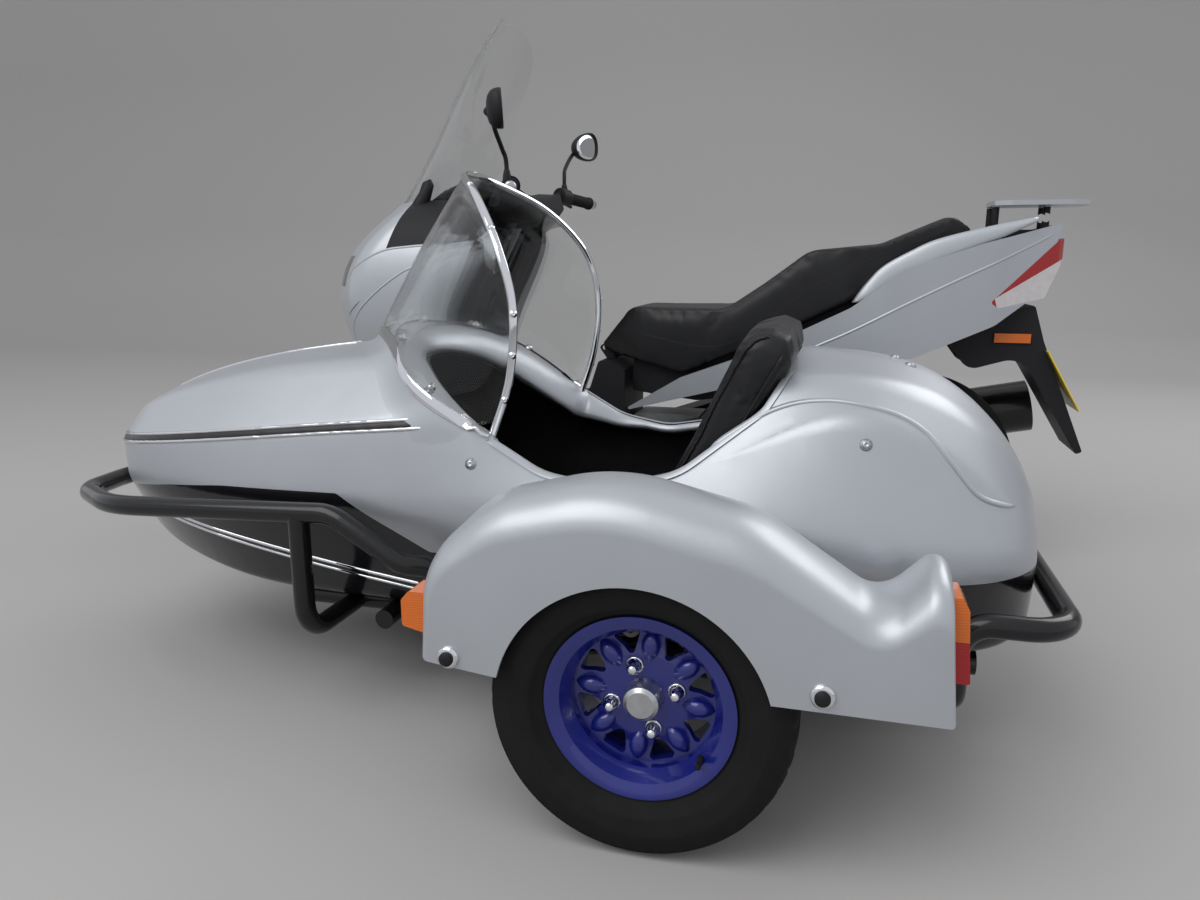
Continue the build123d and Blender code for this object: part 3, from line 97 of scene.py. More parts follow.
# Sidecar body: a hand-laid shell sprayed in satin silver metallic and lacquered, in one moulding
# with its hood and its boot dome; it drops over the black hull along the parting line.
class Signal:
    """A value inside a finish; arithmetic on it adds Math nodes."""

    def __init__(self, finish, socket):
        self.finish = finish
        self.socket = socket

    def math(self, operation, *values):
        return self.finish.add("Math", {"operation": operation}, dict(enumerate(values)))

    def __add__(self, other):
        return self.math("ADD", self, other)

    def __mul__(self, other):
        return self.math("MULTIPLY", self, other)

    __radd__ = __add__
    __rmul__ = __mul__

    def wave(self):
        return self.math("SINE", self)


class Finish:
    """One material: its nodes and the shader they feed."""

    def __init__(self, name, colour, roughness, metallic=0.0, coat=0.0, **sockets):
        self.material = bpy.data.materials.new(name)
        self.material.use_nodes = True
        self.tree = self.material.node_tree
        self.shader = self.tree.nodes["Principled BSDF"]
        self.colour = (*colour, 1)
        self.set(Base_Color=self.colour, Roughness=roughness, Metallic=metallic)
        self.set(Coat_Weight=coat, Coat_Roughness=0.04)
        self.set(**sockets)

    def set(self, **sockets):
        for key, value in sockets.items():
            self.feed(self.shader.inputs[key.replace("_", " ")], value)
        return self

    def feed(self, socket, value):
        if isinstance(value, Signal):
            self.tree.links.new(value.socket, socket)
        else:
            socket.default_value = value

    def add(self, kind, settings=None, values=None, output=0):
        """A node of one kind, with its settings and the values or links of its sockets."""
        node = self.tree.nodes.new("ShaderNode" + kind)
        for key, value in (settings or {}).items():
            setattr(node, key, value)
        for key, value in (values or {}).items():
            self.feed(node.inputs[key], value)
        return Signal(self, node.outputs[output])

    def place(self, scale=(1, 1, 1)):
        """Object coordinates, stretched."""
        return self.add("Mapping", None, {"Vector": self.add("TexCoord", output="Object"), "Scale": scale})

    def noise(self, scale, detail):
        return self.add("TexNoise", None, {"Vector": self.place(), "Scale": scale, "Detail": detail})

    def cells(self, scale):
        return self.add("TexVoronoi", None, {"Vector": self.place(), "Scale": scale})

    def mix(self, share, first, second):
        """Colour between two, by a share."""
        return self.add("Mix", {"data_type": "RGBA"}, {0: share, 6: first, 7: second}, 2)

    def bump(self, height, depth, strength):
        """Relief whose full height is a depth in metres."""
        return self.set(Normal=self.add("Bump", None, {"Height": height, "Distance": depth, "Strength": strength}))

    def shaded(self, share, spread):
        """The finish's own colour, lighter or darker by a share."""
        red, green, blue, _ = self.colour
        low = tuple(part * (1 - spread) for part in (red, green, blue)) + (1,)
        high = tuple(min(1, part * (1 + spread)) for part in (red, green, blue)) + (1,)
        return self.set(Base_Color=self.mix(share, low, high))

    def mottled(self, scale, detail, spread):
        """Soft patches of a lighter and a darker shade."""
        return self.shaded(self.noise(scale, detail), spread)

    def pebbled(self, scale, detail, depth, strength):
        """A fine uneven relief."""
        return self.bump(self.noise(scale, detail), depth, strength)

    def hazed(self, scale, detail, spread, least=0.0):
        """Roughness that varies in patches from a least value."""
        haze = self.noise(scale, detail) * spread
        return self.set(Roughness=haze + least if least else haze)


def set_out(piece, body, finishes):
    """Give a finished piece its materials and the body that it rides on."""
    if piece.data.materials:
        piece.data.materials.clear()
    for finish in finishes if isinstance(finishes, list) else [finishes]:
        piece.data.materials.append(finish.material)
    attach(piece, body)
    return piece


def crease(shell, degrees):
    """Smooth shading with sharp edges kept where faces meet at more than an angle."""
    limit = math.radians(degrees)
    for face in shell.faces:
        face.smooth = True
    for edge in shell.edges:
        edge.smooth = len(edge.link_faces) == 2 and edge.calc_face_angle(0) < limit


def mesh_piece(name, shell, turn_out=True):
    """The shell as an object; its faces are turned outwards unless they already point that way."""
    if turn_out:
        bmesh.ops.recalc_face_normals(shell, faces=shell.faces)
    data = bpy.data.meshes.new(name)
    shell.to_mesh(data)
    shell.free()
    return new_object(name, data)


def node_shell(node):
    """A node's own solid as a merged shell."""
    shell = bmesh.new()
    shell.from_mesh(frame["nodes"][node].data)
    bmesh.ops.remove_doubles(shell, verts=shell.verts, dist=2e-5)
    return shell


PANEL_EDGE = 28


def dress(node, finish, name):
    """The node's own shape as one smooth-shaded skin that stands for it."""
    shell = node_shell(node)
    crease(shell, PANEL_EDGE)
    for face in shell.faces:
        face.material_index = 0
    piece = mesh_piece(name, shell, turn_out=False)
    set_out(piece, frame["nodes"][node]["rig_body"], finish)
    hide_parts(node)
    return piece


silver = Finish("silver_lacquer", (0.47, 0.49, 0.52), 0.42, metallic=0.55, coat=0.22, Coat_Roughness=0.16)
silver.shaded(silver.noise(5, 3) * 0.6 + silver.cells(2600) * 0.35, 0.10)
silver.hazed(24, 3, 0.07, 0.39).pebbled(260, 1, 0.00003, 0.35)
body_shell = dress("sidecar_body", silver, "body_shell")

# Hull below it: the same lay-up in gloss black gel coat, with a slight ripple from the mould; the
# chassis tubes run along it and the floor of the tub is inside.
gel_black = Finish("black_gel_coat", (0.008, 0.008, 0.010), 0.16, coat=0.35, Specular_IOR_Level=0.35)
gel_black.hazed(30, 4, 0.16, 0.08).pebbled(14, 2, 0.0004, 0.25)
hull_shell = dress("sidecar_hull", gel_black, "hull_shell")

# Plain skins: tubes, castings, mouldings, wheels, lamps and the touring screen, whose solids have the
# whole shape already; each gets the finish of the real one, painted, plated, cast or moulded.
tube_black = Finish("black_tube_paint", (0.008, 0.008, 0.009), 0.2, coat=0.2, Specular_IOR_Level=0.35)
tube_black.hazed(60, 4, 0.2, 0.12).pebbled(420, 2, 0.00006, 0.3)
moulded = Finish("moulded_black", (0.014, 0.014, 0.016), 0.55, Specular_IOR_Level=0.25)
moulded.mottled(9, 4, 0.25).bump(moulded.cells(1500), 0.00012, 0.5)
rubber = Finish("rubber_black", (0.012, 0.012, 0.012), 0.72, Specular_IOR_Level=0.2)
rubber.mottled(35, 5, 0.35).pebbled(700, 3, 0.0001, 0.4)
deep_blue = Finish("deep_blue_paint", (0.008, 0.014, 0.19), 0.24, metallic=0.1, coat=0.7)
deep_blue.mottled(12, 3, 0.25).pebbled(500, 2, 0.00004, 0.3)
cast = Finish("cast_aluminium", (0.40, 0.41, 0.42), 0.5, metallic=0.85)
cast.mottled(60, 5, 0.2).pebbled(900, 4, 0.00015, 0.5)
plated = Finish("plated_steel", (0.56, 0.57, 0.58), 0.3, metallic=1.0)
plated.hazed(80, 5, 0.3, 0.14).mottled(40, 4, 0.18)
chrome = Finish("bright_chrome", (0.78, 0.79, 0.81), 0.06, metallic=1.0)
chrome.hazed(45, 4, 0.08, 0.03)
acrylic = Finish("clear_acrylic", (0.93, 0.95, 0.95), 0.02, coat=0.7, Transmission_Weight=1.0, IOR=1.04, Alpha=0.7)
acrylic.hazed(18, 4, 0.03)
vinyl = Finish("grained_vinyl", (0.010, 0.010, 0.011), 0.42, Specular_IOR_Level=0.35)
vinyl.mottled(14, 3, 0.3).bump(vinyl.cells(700) + vinyl.noise(900, 2) * 0.4, 0.0002, 0.6)
carpet = Finish("black_carpet", (0.007, 0.007, 0.008), 0.95, Specular_IOR_Level=0.1)
carpet.mottled(900, 3, 0.6).pebbled(650, 4, 0.0012, 0.9)
amber = Finish("amber_lens", (0.75, 0.16, 0.008), 0.16, coat=0.3, Transmission_Weight=0.1)
red = Finish("red_lens", (0.42, 0.003, 0.006), 0.16, coat=0.25, Transmission_Weight=0.1)
LENS_RIBS = 1600
for lens in (amber, red):
    stretched = lens.place((LENS_RIBS, LENS_RIBS, LENS_RIBS))
    lens.bump(lens.add("SeparateXYZ", None, {0: stretched}, 2).wave(), 0.0003, 0.5)
lamp_clear = Finish("clear_lens", (0.92, 0.94, 0.95), 0.03, Transmission_Weight=1.0, IOR=1.45)
lamp_clear.hazed(30, 3, 0.03)
plate_yellow = Finish("plate_yellow", (0.83, 0.62, 0.03), 0.35, coat=0.3)
plate_yellow.mottled(25, 3, 0.08).bump(plate_yellow.cells(900), 0.00005, 0.4)

# Columns: node, finish, name of the skin
PLAIN = [
    ("sidecar_rim", deep_blue, "sidecar_wheel_rim"),
    ("sidecar_hub", plated, "sidecar_wheel_hub"),
    ("sidecar_chassis", tube_black, "chassis_tubes"),
    ("suspension_arm", tube_black, "trailing_arm"),
    ("backrest_bar", tube_black, "backrest_pivot"),
    ("dampers", plated, "spring_units"),
    ("bumper_bars", tube_black, "bumper_tubes"),
    ("sidecar_mudguard", silver, "wheel_cover"),
    ("amber_lenses", amber, "amber_lamps"),
    ("fixing_arms", tube_black, "coupling_arms"),
    ("scooter_frame", tube_black, "frame_tubes"),
    ("engine_unit", cast, "drive_unit"),
    ("muffler", tube_black, "silencer"),
    ("front_fork", cast, "fork_legs"),
    ("brake_calipers", cast, "calipers"),
    ("front_brake_discs", plated, "discs"),
    ("front_wheel", cast, "front_wheel_casting"),
    ("rear_wheel", cast, "rear_wheel_casting"),
    ("front_mudguard", silver, "front_wheel_guard"),
    ("handlebar", moulded, "bar_and_controls"),
    ("handlebar_cover", moulded, "bar_cover"),
    ("headlamps", lamp_clear, "headlamp_lenses"),
    ("scooter_windscreen", acrylic, "touring_screen"),
    ("inner_cowl", moulded, "dash_cowl"),
    ("floor_panels", moulded, "floor_mouldings"),
    ("underseat_box", moulded, "underseat_tub"),
    ("rear_mudguard", moulded, "plate_carrier"),
    ("number_plate", plate_yellow, "blank_plate"),
]
for node, finish, name in PLAIN:
    dress(node, finish, name)

# Trim strips: bright-edged black mouldings bonded along the sides and the crown of the hood, each a
# soft black core between two chrome beads; along the hull run the two chrome beads alone.
def skin_of(piece):
    """A piece's surface, to lay other pieces on."""
    data = piece.data
    return BVHTree.FromPolygons([v.co.copy() for v in data.vertices], [tuple(f.vertices) for f in data.polygons])


def even(line, step):
    """The same line with points at even steps."""
    out = [line[0]]
    walked = 0.0
    for first, second in zip(line, line[1:]):
        length = (second - first).length
        while length > 0 and walked + length >= step:
            first = first.lerp(second, (step - walked) / length)
            length = (second - first).length
            walked = 0.0
            out.append(first)
        walked += length
    return out


CURVE_STEPS = 24


def smooth_line(points, step):
    """Points at even steps along a smooth curve through the given ones."""
    points = [Vector(point) for point in points]
    guides = [points[0] * 2 - points[1]] + points + [points[-1] * 2 - points[-2]]
    dense = []
    for before, start, end, after in zip(guides, guides[1:], guides[2:], guides[3:]):
        for index in range(CURVE_STEPS):
            t = index / CURVE_STEPS
            place = start * 2 + (end - before) * t
            place += (before * 2 - start * 5 + end * 4 - after) * t**2
            place += (start * 3 - before - end * 3 + after) * t**3
            dense.append(place / 2)
    dense.append(points[-1])
    return even(dense, step)


def heading(line, index):
    """The way that a line of points runs at one of them."""
    return line[min(index + 1, len(line) - 1)] - line[max(index - 1, 0)]


PRESS_FROM = 1.2


def pressed(skin, line, direction):
    """Places and normals where a line, moved along a direction, meets a skin."""
    direction = Vector(direction).normalized()
    found = []
    for point in line:
        spot, normal, _, _ = skin.ray_cast(point - direction * PRESS_FROM, direction)
        if spot is not None:
            if normal.dot(direction) > 0:
                normal = -normal
            found.append((spot, normal))
    return found


def skin_over(shell, rings, closed=True, ends="capped", material=0):
    """Smooth faces between rings of points; the ends are capped flat, joined up or left open."""
    rings = [[shell.verts.new(point) for point in ring] for ring in rings]
    pairs = list(zip(rings, rings[1:]))
    if ends == "joined":
        pairs.append((rings[-1], rings[0]))
    for near, far in pairs:
        for index in range(len(near) if closed else len(near) - 1):
            after = (index + 1) % len(near)
            face = shell.faces.new((near[index], near[after], far[after], far[index]))
            face.smooth = True
            face.material_index = material
    if ends == "capped":
        for ring in (rings[0], rings[-1]):
            shell.faces.new(ring).material_index = material


def bead(shell, track, profile, shift=0.0, taper=3, material=0):
    """A strip along places on a skin, from a profile of points across and out in millimetres."""
    spots = [spot for spot, _ in track]
    rings = []
    for index, (spot, normal) in enumerate(track):
        ahead = heading(spots, index)
        across = ahead.cross(normal).normalized()
        out = across.cross(ahead).normalized()
        nearest = min(index, len(track) - 1 - index)
        size = math.sqrt(1 - (1 - min(1, (nearest + 0.3) / taper)) ** 2) if taper else 1
        ring = []
        for wide, high in profile:
            lift = high * size if high > 0 else high
            ring.append(spot + across * ((shift + wide * size) / 1000) + out * (lift / 1000))
        rings.append(ring)
    skin_over(shell, rings, closed=False, material=material)


trim_black = Finish("trim_black", (0.015, 0.015, 0.016), 0.35)
trim_black.mottled(40, 3, 0.3).pebbled(900, 2, 0.00005, 0.4)
CHROME_BEAD = [(-3.4, -1), (-3.2, 1.2), (-1.6, 2.6), (0, 3.1), (1.6, 2.6), (3.2, 1.2), (3.4, -1)]
BLACK_CORE = [(-6.2, -1), (-6.0, 1.1), (-3, 1.9), (3, 1.9), (6.0, 1.1), (6.2, -1)]
SIDE_LINE = [(-1786, 458), (-1750, 466), (-1680, 480), (-1540, 501), (-1360, 523), (-1100, 552), (-910, 571)]
CROWN_LINE = [(-1733, 0), (-1623, 0), (-1487, 0), (-1358, 0), (-1245, 0), (-1203, 0)]
HULL_LINE = [(-1560, 341), (-1500, 331), (-1300, 299), (-1100, 264), (-955, 241)]
TRIM_STEP = 0.007
SIDE_SPREAD = 8.6
CROWN_SPREAD = 9.5
HULL_SPREAD = 8
BODY_MIDDLE = -911


def trim_strip(shell, track, spread):
    """A black core with a chrome bead at a distance on either side."""
    for shift, profile, tone in ((-spread, CHROME_BEAD, 0), (0, BLACK_CORE, 1), (spread, CHROME_BEAD, 0)):
        bead(shell, track, profile, shift, material=tone)


body_skin = skin_of(body_shell)
hull_skin = skin_of(hull_shell)
strips = bmesh.new()
for side in (-1, 1):
    reach = BODY_MIDDLE + side * 1000
    side_path = smooth_line([at(x, reach, z) for x, z in SIDE_LINE], TRIM_STEP)
    trim_strip(strips, pressed(body_skin, side_path, (0, -side, 0)), SIDE_SPREAD)
    hull_path = smooth_line([at(x, reach, z) for x, z in HULL_LINE], TRIM_STEP)
    hull_track = pressed(hull_skin, hull_path, (0, -side, 0))
    for shift in (-HULL_SPREAD, HULL_SPREAD):
        bead(strips, hull_track, CHROME_BEAD, shift)
crown_path = smooth_line([at(x, BODY_MIDDLE + y, 1000) for x, y in CROWN_LINE], TRIM_STEP)
trim_strip(strips, pressed(body_skin, crown_path, (0, 0, -1)), CROWN_SPREAD)
set_out(mesh_piece("trim_strips", strips), "machine", [chrome, trim_black])


# Tyres: moulded covers with ribbed sidewalls; the car-type sidecar cover has four rain grooves and
# cross cuts on both shoulders, the scooter's round covers have slanting grooves.
CROWN_POINTS = 25
RAIN_GROOVE = 0.045


def tyre_shell(axle, radius, half, seat, bead_half, crown, blocks, groove, grooves, slant):
    """Cover turned about its axle, with grooves pressed into the crown."""
    height = radius - seat
    square = slant == 0
    section = [
        (seat + 1.5, -bead_half + 11), (seat + 1.5, -bead_half),
        (seat + 8, -bead_half - 1.5), (seat + 14, -bead_half),
    ]
    # Sidewall columns: share of the height, share of the half width
    for rise, bulge in ((0.3, 0.93), (0.36, 0.975), (0.42, 0.97), (0.5, 1), (0.6, 0.995), (0.63, 1), (0.66, 0.985)):
        section.append((seat + height * rise, -half * bulge))
    wall = list(section)
    edge = half * (0.97 if square else 0.98)
    shoulder_radius = radius - height * crown - (5 if square else 8)
    roundness = 5.0 if square else 2.1
    for index in range(CROWN_POINTS):
        share = -1 + 2 * index / (CROWN_POINTS - 1)
        section.append((radius - (radius - shoulder_radius) * abs(share) ** roundness, share * edge))
    section += [(level, -y) for level, y in reversed(wall)]
    cuts_from, cuts_to = (0.62, math.inf) if square else (0.12, 0.93)
    sides = blocks * 4
    rings = []
    for step in range(sides):
        angle = 2 * math.pi * step / sides
        ring = []
        for level, y in section:
            share = y / edge
            if level > shoulder_radius + 0.5:
                cut = cuts_from < abs(share) < cuts_to and (step + abs(share) * slant) % 4 < 1
                rain = any(abs(share - place) < RAIN_GROOVE for place in grooves)
                level -= groove * (cut + rain)
            ring.append(at(axle[0] + level * math.cos(angle), axle[1] + y, axle[2] + level * math.sin(angle)))
        rings.append(ring)
    shell = bmesh.new()
    skin_over(shell, rings, ends="joined")
    crease(shell, 34)
    return shell


tread_rubber = Finish("tread_rubber", (0.010, 0.010, 0.010), 0.78, Specular_IOR_Level=0.2)
tread_rubber.shaded(tread_rubber.noise(30, 6) * 0.8 + tread_rubber.noise(260, 2) * 0.3, 0.4)
tread_rubber.pebbled(520, 3, 0.00015, 0.5)
SIDECAR_COVER = ((-466, -1414, 224.5), 224.5, 97.5, 127, 67.5, 0.06, 44, 5.5, (-0.54, -0.18, 0.18, 0.54), 0)
FRONT_COVER = ((-1585, 0, 274), 274, 60, 178, 40, 0.30, 30, 3.5, (0.0,), 3.2)
REAR_COVER = ((0, 0, 270), 270, 75, 165, 51, 0.26, 30, 4.0, (0.0,), 3.2)
# Columns: node, name, and the cover's axle, radius, half width, rim seat, bead half width, crown
# share, blocks, groove depth, rain grooves as shares of the half width and slant of the cross cuts
COVERS = [
    ("sidecar_tyre", "sidecar_cover", SIDECAR_COVER),
    ("front_tyre", "front_cover", FRONT_COVER),
    ("rear_tyre", "rear_cover", REAR_COVER),
]
for node, name, sizes in COVERS:
    cover = mesh_piece(name, tyre_shell(*sizes))
    set_out(cover, frame["nodes"][node]["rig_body"], tread_rubber)
    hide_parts(node)


# Backrest of the passenger's seat, hinged at its foot: cut foam under black grained vinyl, blown a
# little out by the stuffing, with a piped edge down both sides.
COVER_PRESSURE = 4.0
COVER_STEPS = 20


def foam(shell, name, voxel, cap):
    """A shell blown up a little as a stuffed cover, each point held within a distance."""
    start = mesh_piece(name, shell)
    remesh = start.modifiers.new("remesh", "REMESH")
    remesh.mode = "VOXEL"
    remesh.voxel_size = voxel
    data = bpy.data.meshes.new_from_object(start.evaluated_get(bpy.context.evaluated_depsgraph_get()))
    bpy.data.objects.remove(start)
    pad = new_object(name, data)
    rest = [vertex.co.copy() for vertex in data.vertices]
    cloth = pad.modifiers.new("cover", "CLOTH")
    cloth.settings.use_pressure = True
    cloth.settings.uniform_pressure_force = COVER_PRESSURE
    cloth.settings.effector_weights.gravity = 0
    cloth.settings.quality = 5
    scene = bpy.context.scene
    for step in range(1, COVER_STEPS + 1):
        scene.frame_set(step)
    blown = pad.evaluated_get(bpy.context.evaluated_depsgraph_get()).data
    moved = [vertex.co.copy() for vertex in blown.vertices]
    pad.modifiers.remove(cloth)
    scene.frame_set(1)
    for vertex, old, new in zip(data.vertices, rest, moved):
        step = new - old
        vertex.co = old + step.normalized() * min(step.length, cap)
    for polygon in data.polygons:
        polygon.use_smooth = True
    return pad


def sewn(name, pad, lines, profile, body):
    """Piping or seams laid on a cushion along lines of drawn places."""
    skin = skin_of(pad)
    shell = bmesh.new()
    for line in lines:
        path = smooth_line([at(*point) for point in line], SEWN_STEP)
        bead(shell, [skin.find_nearest(point)[:2] for point in path], profile, taper=2)
    set_out(mesh_piece(name, shell), body, vinyl)


PIPING_RADIUS = 2.6
PIPING_SUNK = 0.6
PIPING = []
for step in range(11):
    turn = math.pi * step / 5 - math.pi
    PIPING.append((PIPING_RADIUS * math.sin(turn), PIPING_RADIUS - PIPING_RADIUS * math.cos(turn) - PIPING_SUNK))
BACKREST_SIDE = [
    (-548, 350), (-450, 540), (-380, 690), (-360, 733), (-322, 748), (-290, 735), (-288, 704), (-324, 630),
    (-354, 578), (-392, 508), (-447, 393), (-507, 312),
]
BACKREST_HALF = 216
BACKREST_MIDDLE = -420
BACKREST_KNEE = 560
BACKREST_TOP = 740
SEWN_STEP = 0.006
# Columns: share of the half width, how far the top sinks there and how much the pad thins
PAD_ROWS = [(0.2, -2, 0), (0.6, 0, 0), (0.88, 4, 0), (0.97, 14, 4), (1, 34, 10)]
rings = []
for share, sink, thin in [(-share, sink, thin) for share, sink, thin in reversed(PAD_ROWS)] + PAD_ROWS:
    ring = []
    for x, z in BACKREST_SIDE:
        lift = max(0.0, (z - BACKREST_KNEE) / (BACKREST_TOP - BACKREST_KNEE))
        inwards = thin * (0.4 if x < BACKREST_MIDDLE else -0.4)
        ring.append(at(x - sink * lift * 0.5 + inwards, BODY_MIDDLE + share * BACKREST_HALF, z - sink * lift))
    rings.append(ring)
backrest_shell = bmesh.new()
skin_over(backrest_shell, rings)
bmesh.ops.recalc_face_normals(backrest_shell, faces=backrest_shell.faces)
bmesh.ops.subdivide_edges(backrest_shell, edges=backrest_shell.edges, cuts=2, use_grid_fill=True)
backrest_pad = foam(backrest_shell, "backrest_pad", voxel=0.006, cap=0.009)
set_out(backrest_pad, "backrest", vinyl)
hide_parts("backrest")
piping_lines = []
for side in (-1, 1):
    y = BODY_MIDDLE + side * (BACKREST_HALF - 1)
    piping_lines.append([(-556, y, 360), (-455, y, 548), (-365, y, 712), (-330, y - side * 8, 726)])
    piping_lines.append([(-512, y, 330), (-466, y, 400), (-385, y, 548), (-305, y - side * 4, 700)])
sewn("backrest_piping", backrest_pad, piping_lines, PIPING, "backrest")

# Passenger's seat cushion: a thick foam pad under the same vinyl, laid on the floor of the tub, with
# three channels sewn across it.
SEAM = [(-1.6, -0.4), (-1.2, 0.5), (-0.4, 0.1), (0.4, 0.1), (1.2, 0.5), (1.6, -0.4)]
CUSHION_SIDE = [(-922, 222), (-922, 322), (-895, 332), (-600, 308), (-583, 298), (-583, 222)]
CUSHION_HALF = 190
CUSHION_ROWS = 5
SEAM_HALF = 180
rings = []
for row in range(CUSHION_ROWS + 1):
    y = BODY_MIDDLE - CUSHION_HALF + 2 * CUSHION_HALF * row / CUSHION_ROWS
    rings.append([at(x, y, z) for x, z in CUSHION_SIDE])
cushion_shell = bmesh.new()
skin_over(cushion_shell, rings)
bmesh.ops.subdivide_edges(cushion_shell, edges=cushion_shell.edges, cuts=3, use_grid_fill=True)
cushion_pad = foam(cushion_shell, "passenger_pad", voxel=0.007, cap=0.010)
set_out(cushion_pad, "machine", vinyl)
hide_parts("sidecar_seat")
seam_lines = []
for x in (-850, -770, -690):
    seam_lines.append([(x, BODY_MIDDLE - SEAM_HALF, 340), (x, BODY_MIDDLE, 345), (x, BODY_MIDDLE + SEAM_HALF, 340)])
sewn("passenger_seams", cushion_pad, seam_lines, SEAM, "machine")

# Rider's seat: one moulded foam lid with a raised pillion step, covered in the same vinyl, with a
# seam round its edge and another across the step.
saddle_pad = foam(node_shell("scooter_seat"), "saddle_pad", voxel=0.007, cap=0.006)
set_out(saddle_pad, "seat_lid", vinyl)
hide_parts("scooter_seat")
SADDLE_EDGE = [
    (-880, 70, 640), (-760, 130, 640), (-560, 166, 612), (-430, 168, 668), (-300, 167, 770), (-140, 160, 850),
    (60, 110, 930),
]
SADDLE_STEP = [(-300, 167, 770), (-330, 120, 850), (-345, 60, 850), (-350, 0, 850)]
saddle_lines = []
for side in (-1, 1):
    for line in (SADDLE_EDGE, SADDLE_STEP):
        saddle_lines.append([(x, side * half, z) for x, half, z in line])
sewn("saddle_seams", saddle_pad, saddle_lines, SEAM, "seat_lid")

# Cockpit: the opening is a horseshoe in plan. Round its front the moulding rises in a collar that
# carries the screen, and from there a broad rolled rim runs inwards and down to the opening; along
# the sides it narrows to a lip with a black edge trim under it.
# Columns: x, half width, height, from the screen's foot to the front
BAND = [(-796, 293, 553), (-901, 309, 615), (-967, 278, 659), (-1029, 184, 699), (-1110, 81, 717)]
BAND_TIP = (-1138, 704)
OPENING = [(-802, 248, 498), (-865, 222, 550), (-926, 190, 598), (-981, 138, 639), (-1022, 69, 662)]
OPENING_TIP = (-1038, 669)
HOOP = [(-799, 284, 539), (-764, 279, 649), (-756, 277, 769), (-784, 266, 869), (-849, 192, 955), (-925, 73, 1007)]
HOOP_TOP = (-933, 1013)
RIM_LINE = [
    (-985, 0, 800), (-985, 0, 712), (-800, 0, 552), (-700, 0, 494), (-590, 0, 474), (-470, 0, 500), (-335, 0, 606),
    (-275, 0, 706), (-275, 0, 800),
]
RIM_BENDS = [40, 90, 140, 140, 120, 60, 30]


def rounded(points, bends, steps=8):
    """A line through straight runs joined by arcs, one bend radius for each inner corner."""
    line = [Vector(points[0])]
    for before, corner, after, bend in zip(points, points[1:], points[2:], bends):
        corner = Vector(corner)
        back = (Vector(before) - corner).normalized()
        ahead = (Vector(after) - corner).normalized()
        half_turn = back.angle(ahead) / 2
        reach = bend / math.tan(half_turn)
        middle = (back + ahead).normalized()
        centre = corner + middle * (bend / math.sin(half_turn))
        start = corner + back * reach - centre
        end = corner + ahead * reach - centre
        for step in range(steps + 1):
            arm = start.lerp(end, step / steps).normalized() * bend
            line.append(centre + arm)
    line.append(Vector(points[-1]))
    return line


def over_both(points, tip, count):
    """Even points of a smooth line over both halves of the sidecar, from one half and its tip."""
    near = [at(x, BODY_MIDDLE - half, z) for x, half, z in points]
    far = [at(x, BODY_MIDDLE + half, z) for x, half, z in reversed(points)]
    fine = smooth_line(near + [at(tip[0], BODY_MIDDLE, tip[1])] + far, 0.0005)
    return [fine[round(index * (len(fine) - 1) / (count - 1))] for index in range(count)]


def carve(piece, prism):
    """Cut the room of a closed shell out of a piece."""
    tool = mesh_piece("cutter", prism)
    cut = piece.modifiers.new("cut", "BOOLEAN")
    cut.object = tool
    cut.solver = "EXACT"
    data = bpy.data.meshes.new_from_object(piece.evaluated_get(bpy.context.evaluated_depsgraph_get()))
    piece.modifiers.clear()
    piece.data = data
    bpy.data.objects.remove(tool)
    shell = bmesh.new()
    shell.from_mesh(data)
    crease(shell, PANEL_EDGE)
    shell.to_mesh(data)
    shell.free()


FRONT_STEPS = 81
HOOP_STEPS = 161
TUB_MIDDLE = 430
TUB_FACING = 0.004
ROOM_HEIGHTS = (470, 900)
ROOM_INSET = 0.009
band_line = over_both(BAND, BAND_TIP, FRONT_STEPS)
opening_line = over_both(OPENING, OPENING_TIP, FRONT_STEPS)
hoop_line = over_both(HOOP, HOOP_TOP, HOOP_STEPS)
heart = at(-860, BODY_MIDDLE, 600)
outline = []
for point in band_line:
    inward = heart - point
    inward.z = 0
    outline.append(point + inward.normalized() * ROOM_INSET)
room = []
for height in ROOM_HEIGHTS:
    level = at(0, 0, height).z
    room.append([(point.x, point.y, level) for point in outline])
prism = bmesh.new()
skin_over(prism, room)
hood_skin = body_skin
carve(body_shell, prism)
body_skin = skin_of(body_shell)
for piece in (body_shell, hull_shell):
    piece.data.materials.append(carpet.material)
    for polygon in piece.data.polygons:
        core = at(0, BODY_MIDDLE, TUB_MIDDLE)
        core.x = polygon.center.x
        if polygon.normal.dot(core - polygon.center) > TUB_FACING:
            polygon.material_index = 1

# Collar: part of the body's moulding, in the same silver. Outside the band it leaves the hood in a
# hollow curve and rises to the screen's foot.
COLLAR_REACH = 0.085
COLLAR_ROWS = 10
COLLAR_LEAN = 0.55
COLLAR_HOLLOW = 2.4
COLLAR_SUNK = 0.0008
collar_rows = []
for index, point in enumerate(band_line):
    outward = heading(band_line, index).cross(Vector((0, 0, 1))).normalized()
    if outward.dot(heart - point) > 0:
        outward = -outward
    reach = COLLAR_REACH * min(1, 0.2 + min(index, FRONT_STEPS - 1 - index) / 14)
    slope = (outward * COLLAR_LEAN + Vector((0, 0, 1))).normalized()
    feet = []
    for step in range(COLLAR_ROWS + 1):
        probe = point + outward * reach * step / COLLAR_ROWS
        foot, _, _, _ = hood_skin.ray_cast(probe + slope * 0.08, -slope)
        feet.append(foot if foot is not None else probe)
    rise = (point - feet[0]).dot(slope)
    row = []
    for step, foot in enumerate(feet):
        left = 1 - step / COLLAR_ROWS
        row.append(foot + slope * (rise * left**COLLAR_HOLLOW - COLLAR_SUNK * step / COLLAR_ROWS))
    row[0] = point.copy()
    collar_rows.append(row)
collar = bmesh.new()
skin_over(collar, collar_rows, closed=False, ends="open")
set_out(mesh_piece("screen_collar", collar), "machine", silver)

